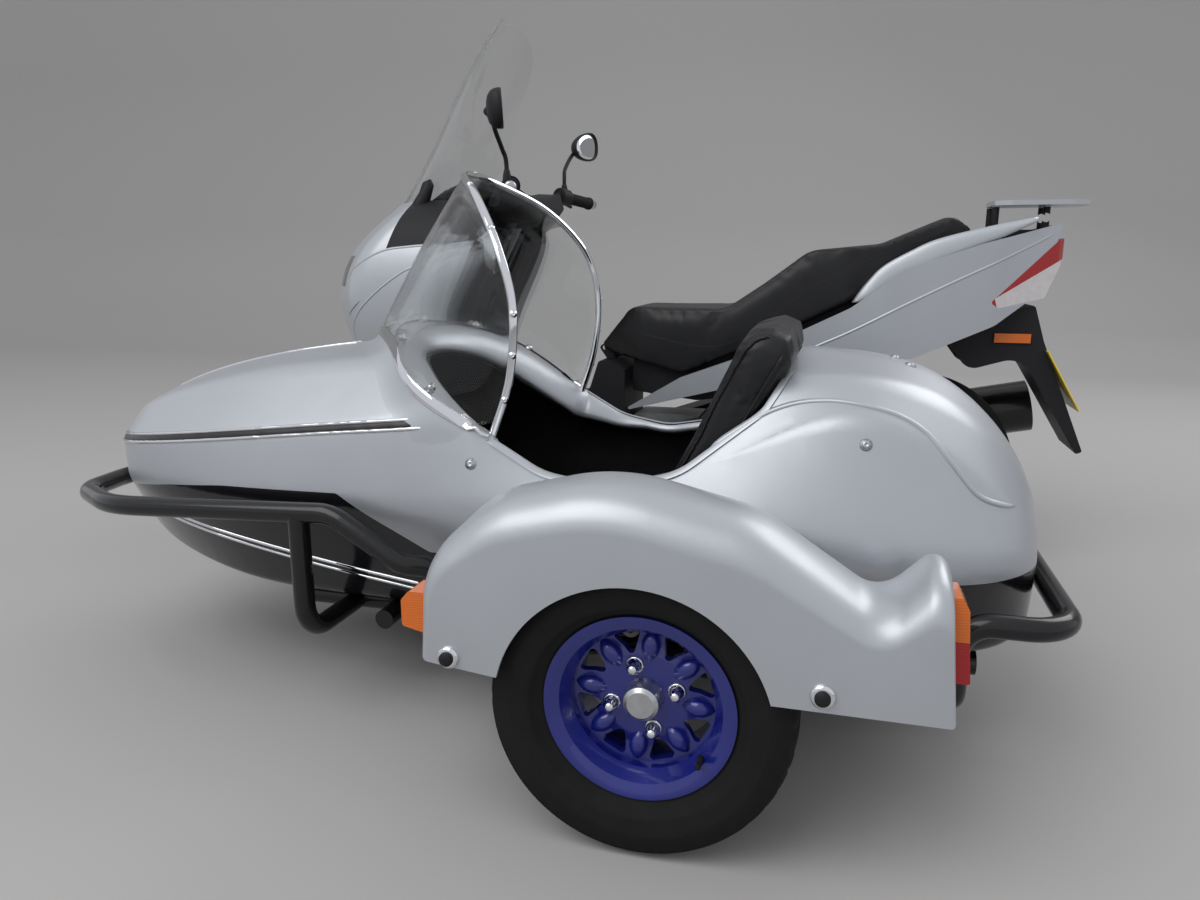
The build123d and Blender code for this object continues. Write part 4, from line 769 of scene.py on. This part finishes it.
# Rolled rim: the moulding's edge, turned over into a broad round lip from one end of the boot round
# the opening to the other, with a black rubber edge trim pushed on under it.
RIM_FRONT = -792
RIM_BLEND = 0.17
RIM_ROLL = 0.17
# Width and drop of the lip along the sides, and what each gains towards the front
LIP_WIDTH, LIP_WIDENS = 0.019, 0.026
LIP_DROP, LIP_FALLS = 0.015, 0.040
BESIDE = 900
side_pairs = {-1: [], 1: []}
for side in (-1, 1):
    walked = 0.0
    before = None
    for point in even(rounded(RIM_LINE, RIM_BENDS), 9):
        if point.x < RIM_FRONT:
            continue
        probe = at(point.x, BODY_MIDDLE + side * BESIDE, point.z - 6)
        spot, _, _, _ = body_skin.ray_cast(probe, Vector((0, -side, 0)))
        if spot is None or abs(spot.y - at(0, BODY_MIDDLE, 0).y) < 0.15:
            continue
        outer = Vector((spot.x, spot.y - side * 0.001, at(0, 0, point.z).z + 0.001))
        walked += (outer - before).length if before else 0
        before = outer
        left = max(0.0, 1 - walked / RIM_BLEND)
        inward = side * (LIP_WIDTH + LIP_WIDENS * left)
        inner = (outer.x, outer.y - inward, outer.z - LIP_DROP - LIP_FALLS * left**1.5)
        side_pairs[side].append((outer, Vector(inner)))
pairs = list(reversed(side_pairs[-1])) + list(zip(band_line, opening_line)) + side_pairs[1]
outer_line = [outer for outer, _ in pairs]
trim_lines = []
rim_rows = []
for index, (outer, inner) in enumerate(pairs):
    across = inner - outer
    crown = heading(outer_line, index).normalized().cross(across).normalized()
    if crown.z < 0:
        crown = -crown
    row = [outer - crown * 0.010, outer]
    for share in (0.06, 0.16, 0.3, 0.45, 0.6, 0.75, 0.88, 1.0):
        swell = across.length * RIM_ROLL * math.sin(math.pi * share) ** 0.75
        row.append(outer + across * share + crown * swell)
    fold = across.normalized()
    for drop, lap in ((0.006, 0.001), (0.012, -0.003), (0.013, -0.012)):
        row.append(inner - crown * drop + fold * lap)
    rim_rows.append(row)
    trim_lines.append(inner - crown * 0.014 - fold * 0.006)
rim = bmesh.new()
skin_over(rim, rim_rows, closed=False, ends="open")
set_out(mesh_piece("rolled_rim", rim), "machine", silver)


def hose(shell, line, radius, sides):
    """A round tube along a line of points, closed at both ends."""
    rings = []
    up = Vector((0, 0, 1))
    for index, spot in enumerate(line):
        ahead = heading(line, index).normalized()
        side = ahead.cross(up)
        if side.length < 0.05:
            side = ahead.cross(Vector((0, 1, 0)))
        side.normalize()
        up = side.cross(ahead)
        size = radius[index] if isinstance(radius, list) else radius
        turns = [2 * math.pi * step / sides for step in range(sides)]
        rings.append([spot + side * size * math.cos(turn) + up * size * math.sin(turn) for turn in turns])
    skin_over(shell, rings)


edge_trim = bmesh.new()
hose(edge_trim, trim_lines, radius=0.0055, sides=8)
set_out(mesh_piece("rim_trim", edge_trim), "machine", trim_black)

# Passenger's screen: a hoop of flat rolled section and a band round the collar, both chromed, hold
# a sheet of clear acrylic bent between them.
HOOP_SECTION = [
    (-7, -3), (-5.5, -4), (5.5, -4), (7, -3), (7, 2), (5, 4), (2, 4.6), (-2, 4.6), (-5, 4), (-7, 2), (-7, -3),
]
BAND_SECTION = [(-11, -2), (-11, 1.5), (-9.5, 2.8), (-4, 3.8), (4, 3.8), (9.5, 2.8), (11, 1.5), (11, -2)]
hoop_track = []
for index, spot in enumerate(hoop_line):
    ahead = heading(hoop_line, index).normalized()
    out = spot - at(-900, BODY_MIDDLE, 690)
    out = (out - ahead * out.dot(ahead)).normalized()
    hoop_track.append((spot, out))
hoop_shell = bmesh.new()
bead(hoop_shell, hoop_track, HOOP_SECTION, taper=0)
bmesh.ops.remove_doubles(hoop_shell, verts=hoop_shell.verts, dist=1e-5)
crease(hoop_shell, 50)
band_track = []
for index, (point, row) in enumerate(zip(band_line, collar_rows)):
    slope = (row[1] - row[0]).normalized()
    out = heading(band_line, index).normalized().cross(slope).normalized()
    if out.z < 0:
        out = -out
    band_track.append((point + slope * 0.006, out))
bead(hoop_shell, band_track, BAND_SECTION, taper=0)
screen_bars = set_out(mesh_piece("screen_bars", hoop_shell), "machine", chrome)
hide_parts("screen_frame")
SHEET_HALF = 0.0019
SHEET_BULGE = 0.006
SHEET_ROWS = 8
LEAST_SHEET = 0.03
sheet_rows = []
for index in range(FRONT_STEPS):
    low = band_line[index]
    high = hoop_track[index * 2][0] - hoop_track[index * 2][1] * 0.001
    if (high - low).length < LEAST_SHEET:
        continue
    out = heading(band_line, index).normalized().cross(high - low).normalized()
    if out.dot(low - heart) < 0:
        out = -out
    shares = [step / SHEET_ROWS for step in range(SHEET_ROWS + 1)]
    points = [low.lerp(high, share) + out * (SHEET_BULGE * math.sin(math.pi * share)) for share in shares]
    outside = [point + out * SHEET_HALF for point in points]
    sheet_rows.append(outside + [point - out * SHEET_HALF for point in reversed(points)])
sheet_shell = bmesh.new()
skin_over(sheet_shell, sheet_rows)
crease(sheet_shell, 40)
bent_sheet = set_out(mesh_piece("passenger_screen", sheet_shell), "machine", acrylic)
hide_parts("sidecar_windscreen")


# Screen fixings: dome-headed chrome screws on washers hold the sheet to its hoop, and plated thumb
# nuts close the clamps of the band at its foot.
def turned_shell(profile, sides, shell=None):
    """A part turned about its own Z axis from radius and height points."""
    shell = shell or bmesh.new()
    turns = [2 * math.pi * step / sides for step in range(sides)]
    rings = []
    for radius, height in profile:
        places = [(radius * math.cos(turn), radius * math.sin(turn), height) for turn in turns]
        rings.append([shell.verts.new(place) for place in (places if radius > 0 else [(0, 0, height)])])
    for low, high in zip(rings, rings[1:]):
        for step in range(sides):
            after = (step + 1) % sides
            if len(low) > 1 and len(high) > 1:
                shell.faces.new((low[step], low[after], high[after], high[step]))
            elif len(low) > 1:
                shell.faces.new((low[step], low[after], high[0]))
            elif len(high) > 1:
                shell.faces.new((low[0], high[after], high[step]))
    return shell


def copies_tree():
    """Nodes that stand a copy of a small part on every point, along that point's direction."""
    tree = bpy.data.node_groups.new("stand_copies", "GeometryNodeTree")
    tree.interface.new_socket("Geometry", in_out="OUTPUT", socket_type="NodeSocketGeometry")
    sockets = {}
    for name, kind in (("Geometry", "Geometry"), ("Part", "Object"), ("Size", "Float"), ("Finish", "Material")):
        socket = tree.interface.new_socket(name, in_out="INPUT", socket_type="NodeSocket" + kind)
        sockets[name] = socket.identifier
    kinds = {
        "entry": "NodeGroupInput",
        "part": "GeometryNodeObjectInfo",
        "direction": "GeometryNodeInputNamedAttribute",
        "align": "FunctionNodeAlignRotationToVector",
        "spun": "FunctionNodeAlignRotationToVector",
        "stand": "GeometryNodeInstanceOnPoints",
        "real": "GeometryNodeRealizeInstances",
        "paint": "GeometryNodeSetMaterial",
        "leave": "NodeGroupOutput",
    }
    nodes = {key: tree.nodes.new(kind) for key, kind in kinds.items()}
    nodes["direction"].data_type = "FLOAT_VECTOR"
    nodes["direction"].inputs["Name"].default_value = "direction"
    nodes["align"].axis = "Z"
    nodes["spun"].axis = "X"
    nodes["spun"].pivot_axis = "Z"
    nodes["spun"].inputs["Vector"].default_value = (1, 0, 0)
    # Columns: node and its output, node and its input
    for source, output, target, entry in (
        ("entry", "Part", "part", "Object"),
        ("entry", "Geometry", "stand", "Points"),
        ("part", "Geometry", "stand", "Instance"),
        ("direction", "Attribute", "align", "Vector"),
        ("align", "Rotation", "spun", "Rotation"),
        ("spun", "Rotation", "stand", "Rotation"),
        ("entry", "Size", "stand", "Scale"),
        ("stand", "Instances", "real", "Geometry"),
        ("real", "Geometry", "paint", "Geometry"),
        ("entry", "Finish", "paint", "Material"),
        ("paint", "Geometry", "leave", "Geometry"),
    ):
        tree.links.new(nodes[source].outputs[output], nodes[target].inputs[entry])
    return tree, sockets


COPIES, COPY_INPUTS = copies_tree()


def stand_copies(name, template, places, finish, body):
    """One mesh of copies of a small shell, each at a place and along a direction."""
    crease(template, 30)
    part = mesh_piece(name + "_part", template)
    carrier_data = bpy.data.meshes.new(name)
    carrier_data.from_pydata([tuple(spot) for spot, _ in places], [], [])
    column = carrier_data.attributes.new("direction", "FLOAT_VECTOR", "POINT")
    for index, (_, direction) in enumerate(places):
        column.data[index].vector = tuple(direction)
    carrier = new_object(name + "_carrier", carrier_data)
    modifier = carrier.modifiers.new("copies", "NODES")
    modifier.node_group = COPIES
    modifier[COPY_INPUTS["Part"]] = part
    modifier[COPY_INPUTS["Size"]] = 1.0
    modifier[COPY_INPUTS["Finish"]] = finish.material
    ready = carrier.evaluated_get(bpy.context.evaluated_depsgraph_get())
    data = bpy.data.meshes.new_from_object(ready)
    for item in (carrier, part):
        bpy.data.objects.remove(item)
    set_out(new_object(name, data), body, finish)


def dome_shell(radius, height):
    """A round dome head on a washer, from shares of its radius and height."""
    washer = [(0, 0), (1.55, 0), (1.55, 0.25)]
    dome = [(1, 0.28), (0.96, 0.55), (0.75, 0.85), (0.4, 0.97), (0.3, 0.6), (0, 0.6)]
    return turned_shell([(radius * wide, height * high) for wide, high in washer + dome], 20)


screw_places = []
for share in (0.058, 0.112, 0.165, 0.273, 0.385, 0.5, 0.62, 0.727, 0.838, 0.89, 0.942):
    spot, out = hoop_track[round(share * (HOOP_STEPS - 1))]
    screw_places.append((spot + out * 0.0042, out))
nut_places = []
for share in (0.12, 0.30, 0.43, 0.57, 0.70, 0.85):
    index = round(share * (FRONT_STEPS - 1))
    inward = (opening_line[index] - band_line[index]).normalized()
    spot = band_line[index] + inward * 0.014 + Vector((0, 0, 0.006))
    nut_places.append((spot, Vector((inward.x, inward.y, 1.2)).normalized()))
THUMB_NUT = [
    (0, 0), (0.0065, 0), (0.0065, 0.003), (0.0045, 0.0035), (0.0045, 0.006), (0.0085, 0.007), (0.0085, 0.014),
    (0.007, 0.0155), (0.003, 0.0155), (0.003, 0.020), (0, 0.020),
]
stand_copies("screen_screws", dome_shell(radius=0.0042, height=0.0034), screw_places, chrome, "machine")
stand_copies("thumb_nuts", turned_shell(THUMB_NUT, 18), nut_places, plated, "machine")

# Crease of the boot: a step in the body's mould, left as a narrow raised edge in the silver that
# runs from the rim round the tail.
CREASE = [
    (-470, 507), (-429, 533), (-323, 603), (-232, 625), (-139, 613), (-78, 583), (-36, 536), (6, 487), (46, 467),
    (79, 459),
]
EDGE_ROLL = [(-7, -0.6), (-4.5, 1.6), (-1.5, 3.2), (1.2, 3.2), (3.4, 1.6), (4.2, -0.6)]
crease_shell = bmesh.new()
for side in (-1, 1):
    line = smooth_line([at(x, BODY_MIDDLE + side * BESIDE, z) for x, z in CREASE], 0.008)
    bead(crease_shell, pressed(body_skin, line, (0, -side, 0)), EDGE_ROLL, taper=5)
set_out(mesh_piece("boot_crease", crease_shell), "machine", silver)

# Body screws: plated dome heads on washers, two low on each flank of the body and two more on top of
# the boot.
body_screws = []
for x, z in ((-824, 504), (-168, 564)):
    for side in (-1, 1):
        spot, normal, _, _ = body_skin.ray_cast(at(x, BODY_MIDDLE + side * BESIDE, z), Vector((0, -side, 0)))
        body_screws.append((spot, normal if normal.dot(Vector((0, side, 0))) > 0 else -normal))
for x, y in ((-116, 0), (-92, -39)):
    spot, normal, _, _ = body_skin.ray_cast(at(x, BODY_MIDDLE + y, 1200), Vector((0, 0, -1)))
    body_screws.append((spot, normal if normal.z > 0 else -normal))
stand_copies("body_screws", dome_shell(radius=0.0065, height=0.005), body_screws, plated, "machine")

# Mudguard fixings: over the end of each stay a chrome cup washer, closed by a black plastic cap
# pressed over the bolt.
OUTWARDS = Vector((0, -1, 0))
GUARD_FACE = -1532
CUP = [(0, -0.002), (0.017, -0.002), (0.017, 0.0015), (0.0155, 0.005), (0.012, 0.0065), (0, 0.0065)]
CAP = [(0, 0.0055), (0.0105, 0.0055), (0.0105, 0.011), (0.008, 0.0135), (0, 0.0145)]
stay_ends = [(at(x, GUARD_FACE, z), OUTWARDS) for x, z in ((-736, 293), (-214, 303))]
stand_copies("stay_cups", turned_shell(CUP, 28), stay_ends, chrome, "machine")
stand_copies("stay_caps", turned_shell(CAP, 24), stay_ends, moulded, "machine")

# Wheel hardware: chromed acorn nuts on collars over the four studs, and a rubber valve in the rim.
# Places are taken from the wheel's centre plane and axle.
WHEEL_X, WHEEL_Y, WHEEL_Z = SIDECAR_AXLE
STUD_CIRCLE = 50.8
STUD_TURN = 16.5
FACE_DEPTH = 33
wheel_nuts = []
for step in range(4):
    turn = math.radians(STUD_TURN + 90 * step)
    across, up = STUD_CIRCLE * math.cos(turn), STUD_CIRCLE * math.sin(turn)
    wheel_nuts.append((at(WHEEL_X + across, WHEEL_Y - FACE_DEPTH, WHEEL_Z + up), OUTWARDS))
ACORN = [(0.0112, 0), (0.0112, 0.012), (0.0100, 0.0135), (0.0085, 0.019), (0.005, 0.0225), (0, 0.0235)]
NUT_COLLAR = [(0, -0.001), (0.0135, -0.001), (0.0135, 0.0015), (0.0112, 0.0025)]
acorn = turned_shell(ACORN, 6)
turned_shell(NUT_COLLAR, 24, acorn)
stand_copies("wheel_nuts", acorn, wheel_nuts, chrome, "sidecar_wheel_set")
VALVE_RADIUS = 112
VALVE_DEPTH = 66
VALVE = [
    (0.0045, -0.004), (0.0045, 0.012), (0.0035, 0.013), (0.0042, 0.014), (0.0042, 0.024), (0.003, 0.0255),
    (0, 0.0255),
]
turn = math.radians(-37)
across, up = VALVE_RADIUS * math.cos(turn), VALVE_RADIUS * math.sin(turn)
valve_spot = at(WHEEL_X + across, WHEEL_Y - VALVE_DEPTH, WHEEL_Z + up)
stand_copies("rim_valve", turned_shell(VALVE, 14), [(valve_spot, OUTWARDS)], rubber, "sidecar_wheel_set")


# Scooter panels: silver outer skins with black inner mouldings, whose edges stand up in narrow
# ridges; the red lamps have a pale lower lens and the rack a black underside.
def two_tone(node, finish, second, name, place, normals, reach=math.inf):
    """A node's skin with a second finish in the corner cut off by planes through a place."""
    piece = dress(node, finish, name)
    shell = bmesh.new()
    shell.from_mesh(piece.data)
    corner = at(*place)
    normals = [Vector(normal) for normal in normals]
    for normal in normals:
        everything = shell.verts[:] + shell.edges[:] + shell.faces[:]
        bmesh.ops.bisect_plane(shell, geom=everything, plane_co=corner, plane_no=normal)
    for face in shell.faces:
        spot = face.calc_center_median() - corner
        if all(spot.dot(normal) > 0 for normal in normals) and spot.length < reach:
            face.material_index = 1
    crease(shell, PANEL_EDGE)
    shell.to_mesh(piece.data)
    shell.free()
    piece.data.materials.append(second.material)
    return piece


def side_beads(name, skin, lines, profile, finish):
    """Ridges or gaps on both flanks of a skin, along lines given as x and height."""
    shell = bmesh.new()
    for line in lines:
        path = smooth_line([at(x, 0, z) for x, z in line], 0.006)
        for side in (-1, 1):
            bead(shell, pressed(skin, path, (0, -side, 0)), profile, taper=6)
    set_out(mesh_piece(name, shell), "machine", finish)


pale_lens = Finish("pale_lens", (0.62, 0.58, 0.58), 0.14, coat=0.8).mottled(60, 2, 0.15)
DASH_CORNER = (-1457, 0, 875)
rack_top = (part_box("rear_rack")[1].z - origin.z) * 1000
nose = two_tone("front_fairing", silver, moulded, "nose_fairing", DASH_CORNER, [(-0.1, 0, 1), (1, 0, -0.3)])
LAMP_CORNER = (160, 0, 752)
two_tone("red_lenses", red, pale_lens, "red_lamps", LAMP_CORNER, [(0.51, 0, -0.86), (1, 0, 0.3)], reach=0.32)
two_tone("rear_rack", silver, moulded, "rack_plate", (260, 0, rack_top - 15), [(0, 0, -1)])
nose_skin = skin_of(nose)
tail_skin = skin_of(dress("side_panels", silver, "tail_panels"))
RIDGE = [(-4, -0.5), (-2.6, 0.9), (-0.9, 1.9), (0.9, 1.9), (2.6, 0.9), (4, -0.5)]
GAP = [(-1.4, -0.3), (-1.1, 0.5), (1.1, 0.5), (1.4, -0.3)]
EDGE_LINE = [(-1618, 792), (-1546, 836), (-1467, 873), (-1390, 884), (-1312, 889), (-1226, 893)]
LOW_LINE = [(-1613, 613), (-1576, 667), (-1534, 717), (-1476, 767), (-1420, 805), (-1381, 825), (-1320, 838)]
VENT_LINE = [(-1608, 687), (-1577, 705), (-1536, 735)]
TAIL_LINE = [(-288, 618), (-189, 665), (-68, 730), (48, 789), (161, 844), (249, 888), (300, 915)]
side_beads("fairing_edges", nose_skin, [EDGE_LINE, LOW_LINE], RIDGE, silver)
side_beads("tail_edges", tail_skin, [TAIL_LINE], RIDGE, silver)
side_beads("fairing_gaps", nose_skin, [VENT_LINE], GAP, trim_black)

# Dash mouldings: two pieces of black plastic over the steering head, a tall blade beside the dash on
# each side and a hood over the instruments.
HORN = [
    (-1462, 862), (-1450, 931), (-1435, 981), (-1391, 1041), (-1381, 1066), (-1364, 1072), (-1357, 1058),
    (-1368, 1013), (-1402, 972), (-1412, 930), (-1380, 870),
]
HORN_MIDDLE = (-1410, 965)
HORN_FOOT = 862
HORN_OUT = 246
HORN_LEAN = 0.10
dash = bmesh.new()
for side in (-1, 1):
    rings = []
    for lift, thin in ((0, 7), (3, 2.5), (8, 0), (20, 0), (25, 2.5), (28, 7)):
        ring = []
        for x, z in HORN:
            away = Vector((x - HORN_MIDDLE[0], z - HORN_MIDDLE[1]))
            away *= 1 - thin / away.length
            lean = (z - HORN_FOOT) * HORN_LEAN
            ring.append(at(HORN_MIDDLE[0] + away.x, side * (HORN_OUT - lift - lean), HORN_MIDDLE[1] + away.y))
        rings.append(ring)
    skin_over(dash, rings)
HOOD = [
    (-1478, 940), (-1446, 980), (-1410, 1012), (-1372, 1037), (-1331, 1050), (-1302, 1052), (-1296, 1040),
    (-1340, 1028), (-1400, 985), (-1440, 940),
]
HOOD_FOOT = 940
HOOD_HALF = 168
rings = []
for step in range(17):
    share = -1 + step / 8
    ring = []
    for x, z in HOOD:
        height = (z - HOOD_FOOT) * (1.25 - 0.35 * abs(share) ** 2.2)
        ring.append(at(x + 10 * abs(share) ** 2, share * HOOD_HALF, HOOD_FOOT + height))
    rings.append(ring)
skin_over(dash, rings)
crease(dash, 45)
set_out(mesh_piece("dash_mouldings", dash), "machine", moulded)

# Grab handles: a broad blade each side of the pillion seat in the silver of the panels, deepest
# beside the rider's back and running up to the rack behind.
BLADE_TOP = [(-188, 743), (-156, 789), (-116, 833), (-48, 873), (16, 902), (131, 931), (248, 955)]
BLADE_FOOT = [(-188, 738), (-130, 741), (-81, 747), (-40, 762), (-7, 783), (47, 838), (135, 887), (249, 943)]
HANDLE_STEPS = 40
HANDLE_TOP_HALF = 158
HANDLE_FOOT_HALF = 164
HANDLE_THICK = 0.0105
HANDLE_CLOSES = 0.030
HANDLE_SQUARE = 0.7
blades = bmesh.new()
for side in (-1, 1):
    top_line = smooth_line([at(x, side * HANDLE_TOP_HALF, z) for x, z in BLADE_TOP], 0.002)
    foot_line = smooth_line([at(x, side * HANDLE_FOOT_HALF, z) for x, z in BLADE_FOOT], 0.002)
    rings = []
    for step in range(HANDLE_STEPS + 1):
        share = step / HANDLE_STEPS
        top = top_line[round(share * (len(top_line) - 1))]
        foot = foot_line[round(share * (len(foot_line) - 1))]
        middle = (top + foot) / 2 - Vector((0, side * HANDLE_CLOSES * share**2, 0))
        half = (top - foot) / 2
        thick = Vector((0, HANDLE_THICK * math.sin(math.pi * min(0.5, share * 5 + 0.06)), 0))
        ring = []
        for corner in range(20):
            turn = 2 * math.pi * corner / 20
            flat = math.copysign(abs(math.cos(turn)) ** HANDLE_SQUARE, math.cos(turn))
            ring.append(middle + half * math.sin(turn) + thick * flat)
        rings.append(ring)
    skin_over(blades, rings)
crease(blades, 40)
handles = set_out(mesh_piece("grab_handles", blades), "machine", silver)
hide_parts("grab_rails")

# Mirrors: a rounded three-sided shell on a cranked stalk each side, whose silvered glass faces the
# rider and leans in towards the middle.
mirror_glass = Finish("mirror_silvering", (0.80, 0.83, 0.85), 0.02, metallic=1.0).hazed(20, 2, 0.02, 0.01)
MIRROR_HEAD = (-1074, 396, 1219)
# Places on a stalk: x, distance from the middle, height
STALK = [(-1112, 262, 1052), (-1113, 266, 1112), (-1116, 286, 1140), (-1112, 350, 1188), (-1098, 374, 1207)]
STALK_RADIUS = 0.0062
STALK_BOOT = [0.013, 0.013, 0.012, 0.0115, 0.0105, 0.009, 0.008]
# Rings of the shell and of the glass: share of the outline, depth behind the glass in metres
SHELL_RINGS = [
    (0.93, 0.001), (0.955, -0.0035), (1.0, -0.003), (1.02, 0.004), (0.99, 0.014), (0.88, 0.024), (0.66, 0.032),
    (0.34, 0.036), (0.05, 0.037),
]
GLASS_RINGS = [(0.94, 0.0005), (0.93, -0.0012), (0.6, -0.0017), (0.1, -0.0019)]
MIRROR_WIDE = 0.062
MIRROR_HIGH = 0.044
MIRROR_SQUARE = 0.86
MIRROR_POINTS = 48
KNUCKLE_DEPTH = 0.034
mirror_shells = bmesh.new()
glass = bmesh.new()


def mirror_ring(side, size, depth, middle, facing):
    """One ring of the head's rounded outline, at a depth behind the glass."""
    across = Vector((0, side, 0))
    across = (across - facing * across.dot(facing)).normalized()
    up = facing.cross(across)
    if up.z < 0:
        up = -up
    ring = []
    for step in range(MIRROR_POINTS):
        turn = 2 * math.pi * step / MIRROR_POINTS
        wide = MIRROR_WIDE * math.copysign(abs(math.cos(turn)) ** MIRROR_SQUARE, math.cos(turn))
        high = MIRROR_HIGH * math.copysign(abs(math.sin(turn)) ** MIRROR_SQUARE, math.sin(turn))
        high *= 1 + 0.22 * wide / MIRROR_WIDE
        ring.append(middle + across * wide * size + up * (high * size + 0.006 * wide / MIRROR_WIDE) - facing * depth)
    return ring


for side in (-1, 1):
    facing = Vector((0.93, -side * 0.36, 0.06)).normalized()
    middle = at(MIRROR_HEAD[0], side * MIRROR_HEAD[1], MIRROR_HEAD[2])
    for shell, table in ((mirror_shells, SHELL_RINGS), (glass, GLASS_RINGS)):
        skin_over(shell, [mirror_ring(side, size, depth, middle, facing) for size, depth in table])
    line = smooth_line([at(x, side * half, z) for x, half, z in STALK], 0.006)
    hose(mirror_shells, line, STALK_RADIUS, 14)
    hose(mirror_shells, line[: len(STALK_BOOT)], STALK_BOOT, 14)
    knuckle = middle - facing * KNUCKLE_DEPTH
    hose(mirror_shells, [line[-1], line[-1].lerp(knuckle, 0.5), knuckle], [0.0085, 0.011, 0.012], 14)
crease(glass, 30)
crease(mirror_shells, 40)
set_out(mesh_piece("mirror_glasses", glass), "steering", mirror_glass)
mirror_pair = set_out(mesh_piece("mirror_shells", mirror_shells), "steering", moulded)
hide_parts("mirrors")

# Grips: black rubber sleeves with moulded ribs, pushed on over the bar's ends, and a turned steel
# weight screwed in beyond each.
GRIP_OUTER = (-1062, 372, 1034)
GRIP_INNER = (-1117, 220, 1050)
GRIP_LENGTH = 0.120
GRIP_STEPS = 60
GRIP_SIDES = 22
GRIP_RADIUS = 0.0172
FLANGE_RADIUS = 0.0205
RIB = 0.0012
# Bar-end weight: place along the bar from the grip's end and radius, in metres
WEIGHT = [(-0.030, 0.010), (-0.029, 0.0145), (-0.010, 0.0165), (-0.007, 0.0165), (-0.005, 0.012)]
grip_shell = bmesh.new()
weights = bmesh.new()
for side in (-1, 1):
    outer, inner = (at(x, side * half, z) for x, half, z in (GRIP_OUTER, GRIP_INNER))
    along = (inner - outer).normalized()
    line = []
    radii = []
    for step in range(GRIP_STEPS + 1):
        line.append(outer + along * (-0.004 + GRIP_LENGTH * step / GRIP_STEPS))
        sleeve = 3 < step < GRIP_STEPS - 3
        radii.append(GRIP_RADIUS + RIB * (step % 4 < 2) if sleeve else FLANGE_RADIUS)
    hose(grip_shell, line, radii, GRIP_SIDES)
    hose(weights, [outer + along * place for place, _ in WEIGHT], [size for _, size in WEIGHT], GRIP_SIDES)
crease(grip_shell, 40)
grip_piece = mesh_piece("ribbed_grips", grip_shell)
set_out(grip_piece, "steering", rubber)
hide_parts("hand_grips")
crease(weights, 40)
set_out(mesh_piece("bar_weights", weights), "steering", plated)

# Studio: a mid-grey floor that runs up into a backdrop, one large soft lamp over the near side, a
# weaker one behind, and a pale sky that fills the shadows but shows itself mid-grey.
floor_finish = Finish("studio_floor", (0.42, 0.41, 0.40), 0.95, Specular_IOR_Level=0.1)
FLOOR_REACH = 14.0
# Columns: distance back, height
SWEEP = [(-FLOOR_REACH, 0.0), (5.0, 0.0), (6.2, 0.25), (7.2, 1.2), (7.6, 3.0), (7.6, 9.0)]
floor_rows = [[(side * FLOOR_REACH, back, height) for side in (-1, 1)] for back, height in SWEEP]
floor_shell = bmesh.new()
skin_over(floor_shell, floor_rows, closed=False, ends="open")
floor = mesh_piece("floor", floor_shell, turn_out=False)
floor.location.z = -0.0005
floor.data.materials.append(floor_finish.material)


def soft_lamp(name, place, aim, size, power):
    data = bpy.data.lights.new(name, "AREA")
    data.size = size
    data.energy = power
    lamp = new_object(name, data)
    lamp.location = place
    lamp.rotation_euler = (Vector(aim) - Vector(place)).to_track_quat("-Z", "Y").to_euler()


soft_lamp("near_lamp", place=(-2.0, -3.6, 5.0), aim=(0, 0, 0.4), size=4.5, power=170)
soft_lamp("far_lamp", place=(3.5, 3.0, 4.2), aim=(0, 0, 0.6), size=3.0, power=90)
SKY_FILL = (0.93, 0.95, 1.0, 1)
SKY_SEEN = (0.29, 0.29, 0.29, 1)
world = bpy.data.worlds.new("studio")
bpy.context.scene.world = world
world.use_nodes = True
world_nodes = world.node_tree.nodes
sky = world_nodes["Background"]
sky.inputs["Color"].default_value = SKY_FILL
sky.inputs["Strength"].default_value = 0.70
seen = world_nodes.new("ShaderNodeBackground")
seen.inputs["Color"].default_value = SKY_SEEN
rays = world_nodes.new("ShaderNodeLightPath")
either = world_nodes.new("ShaderNodeMath")
either.operation = "MAXIMUM"
choose = world_nodes.new("ShaderNodeMixShader")
# Columns: node and its output, node and its input
for source, output, target, entry in (
    (rays, "Is Camera Ray", either, 0),
    (rays, "Is Transmission Ray", either, 1),
    (either, 0, choose, 0),
    (sky, 0, choose, 1),
    (seen, 0, choose, 2),
    (choose, 0, world_nodes["World Output"], "Surface"),
):
    world.node_tree.links.new(source.outputs[output], target.inputs[entry])
bpy.context.scene.view_settings.view_transform = "Standard"
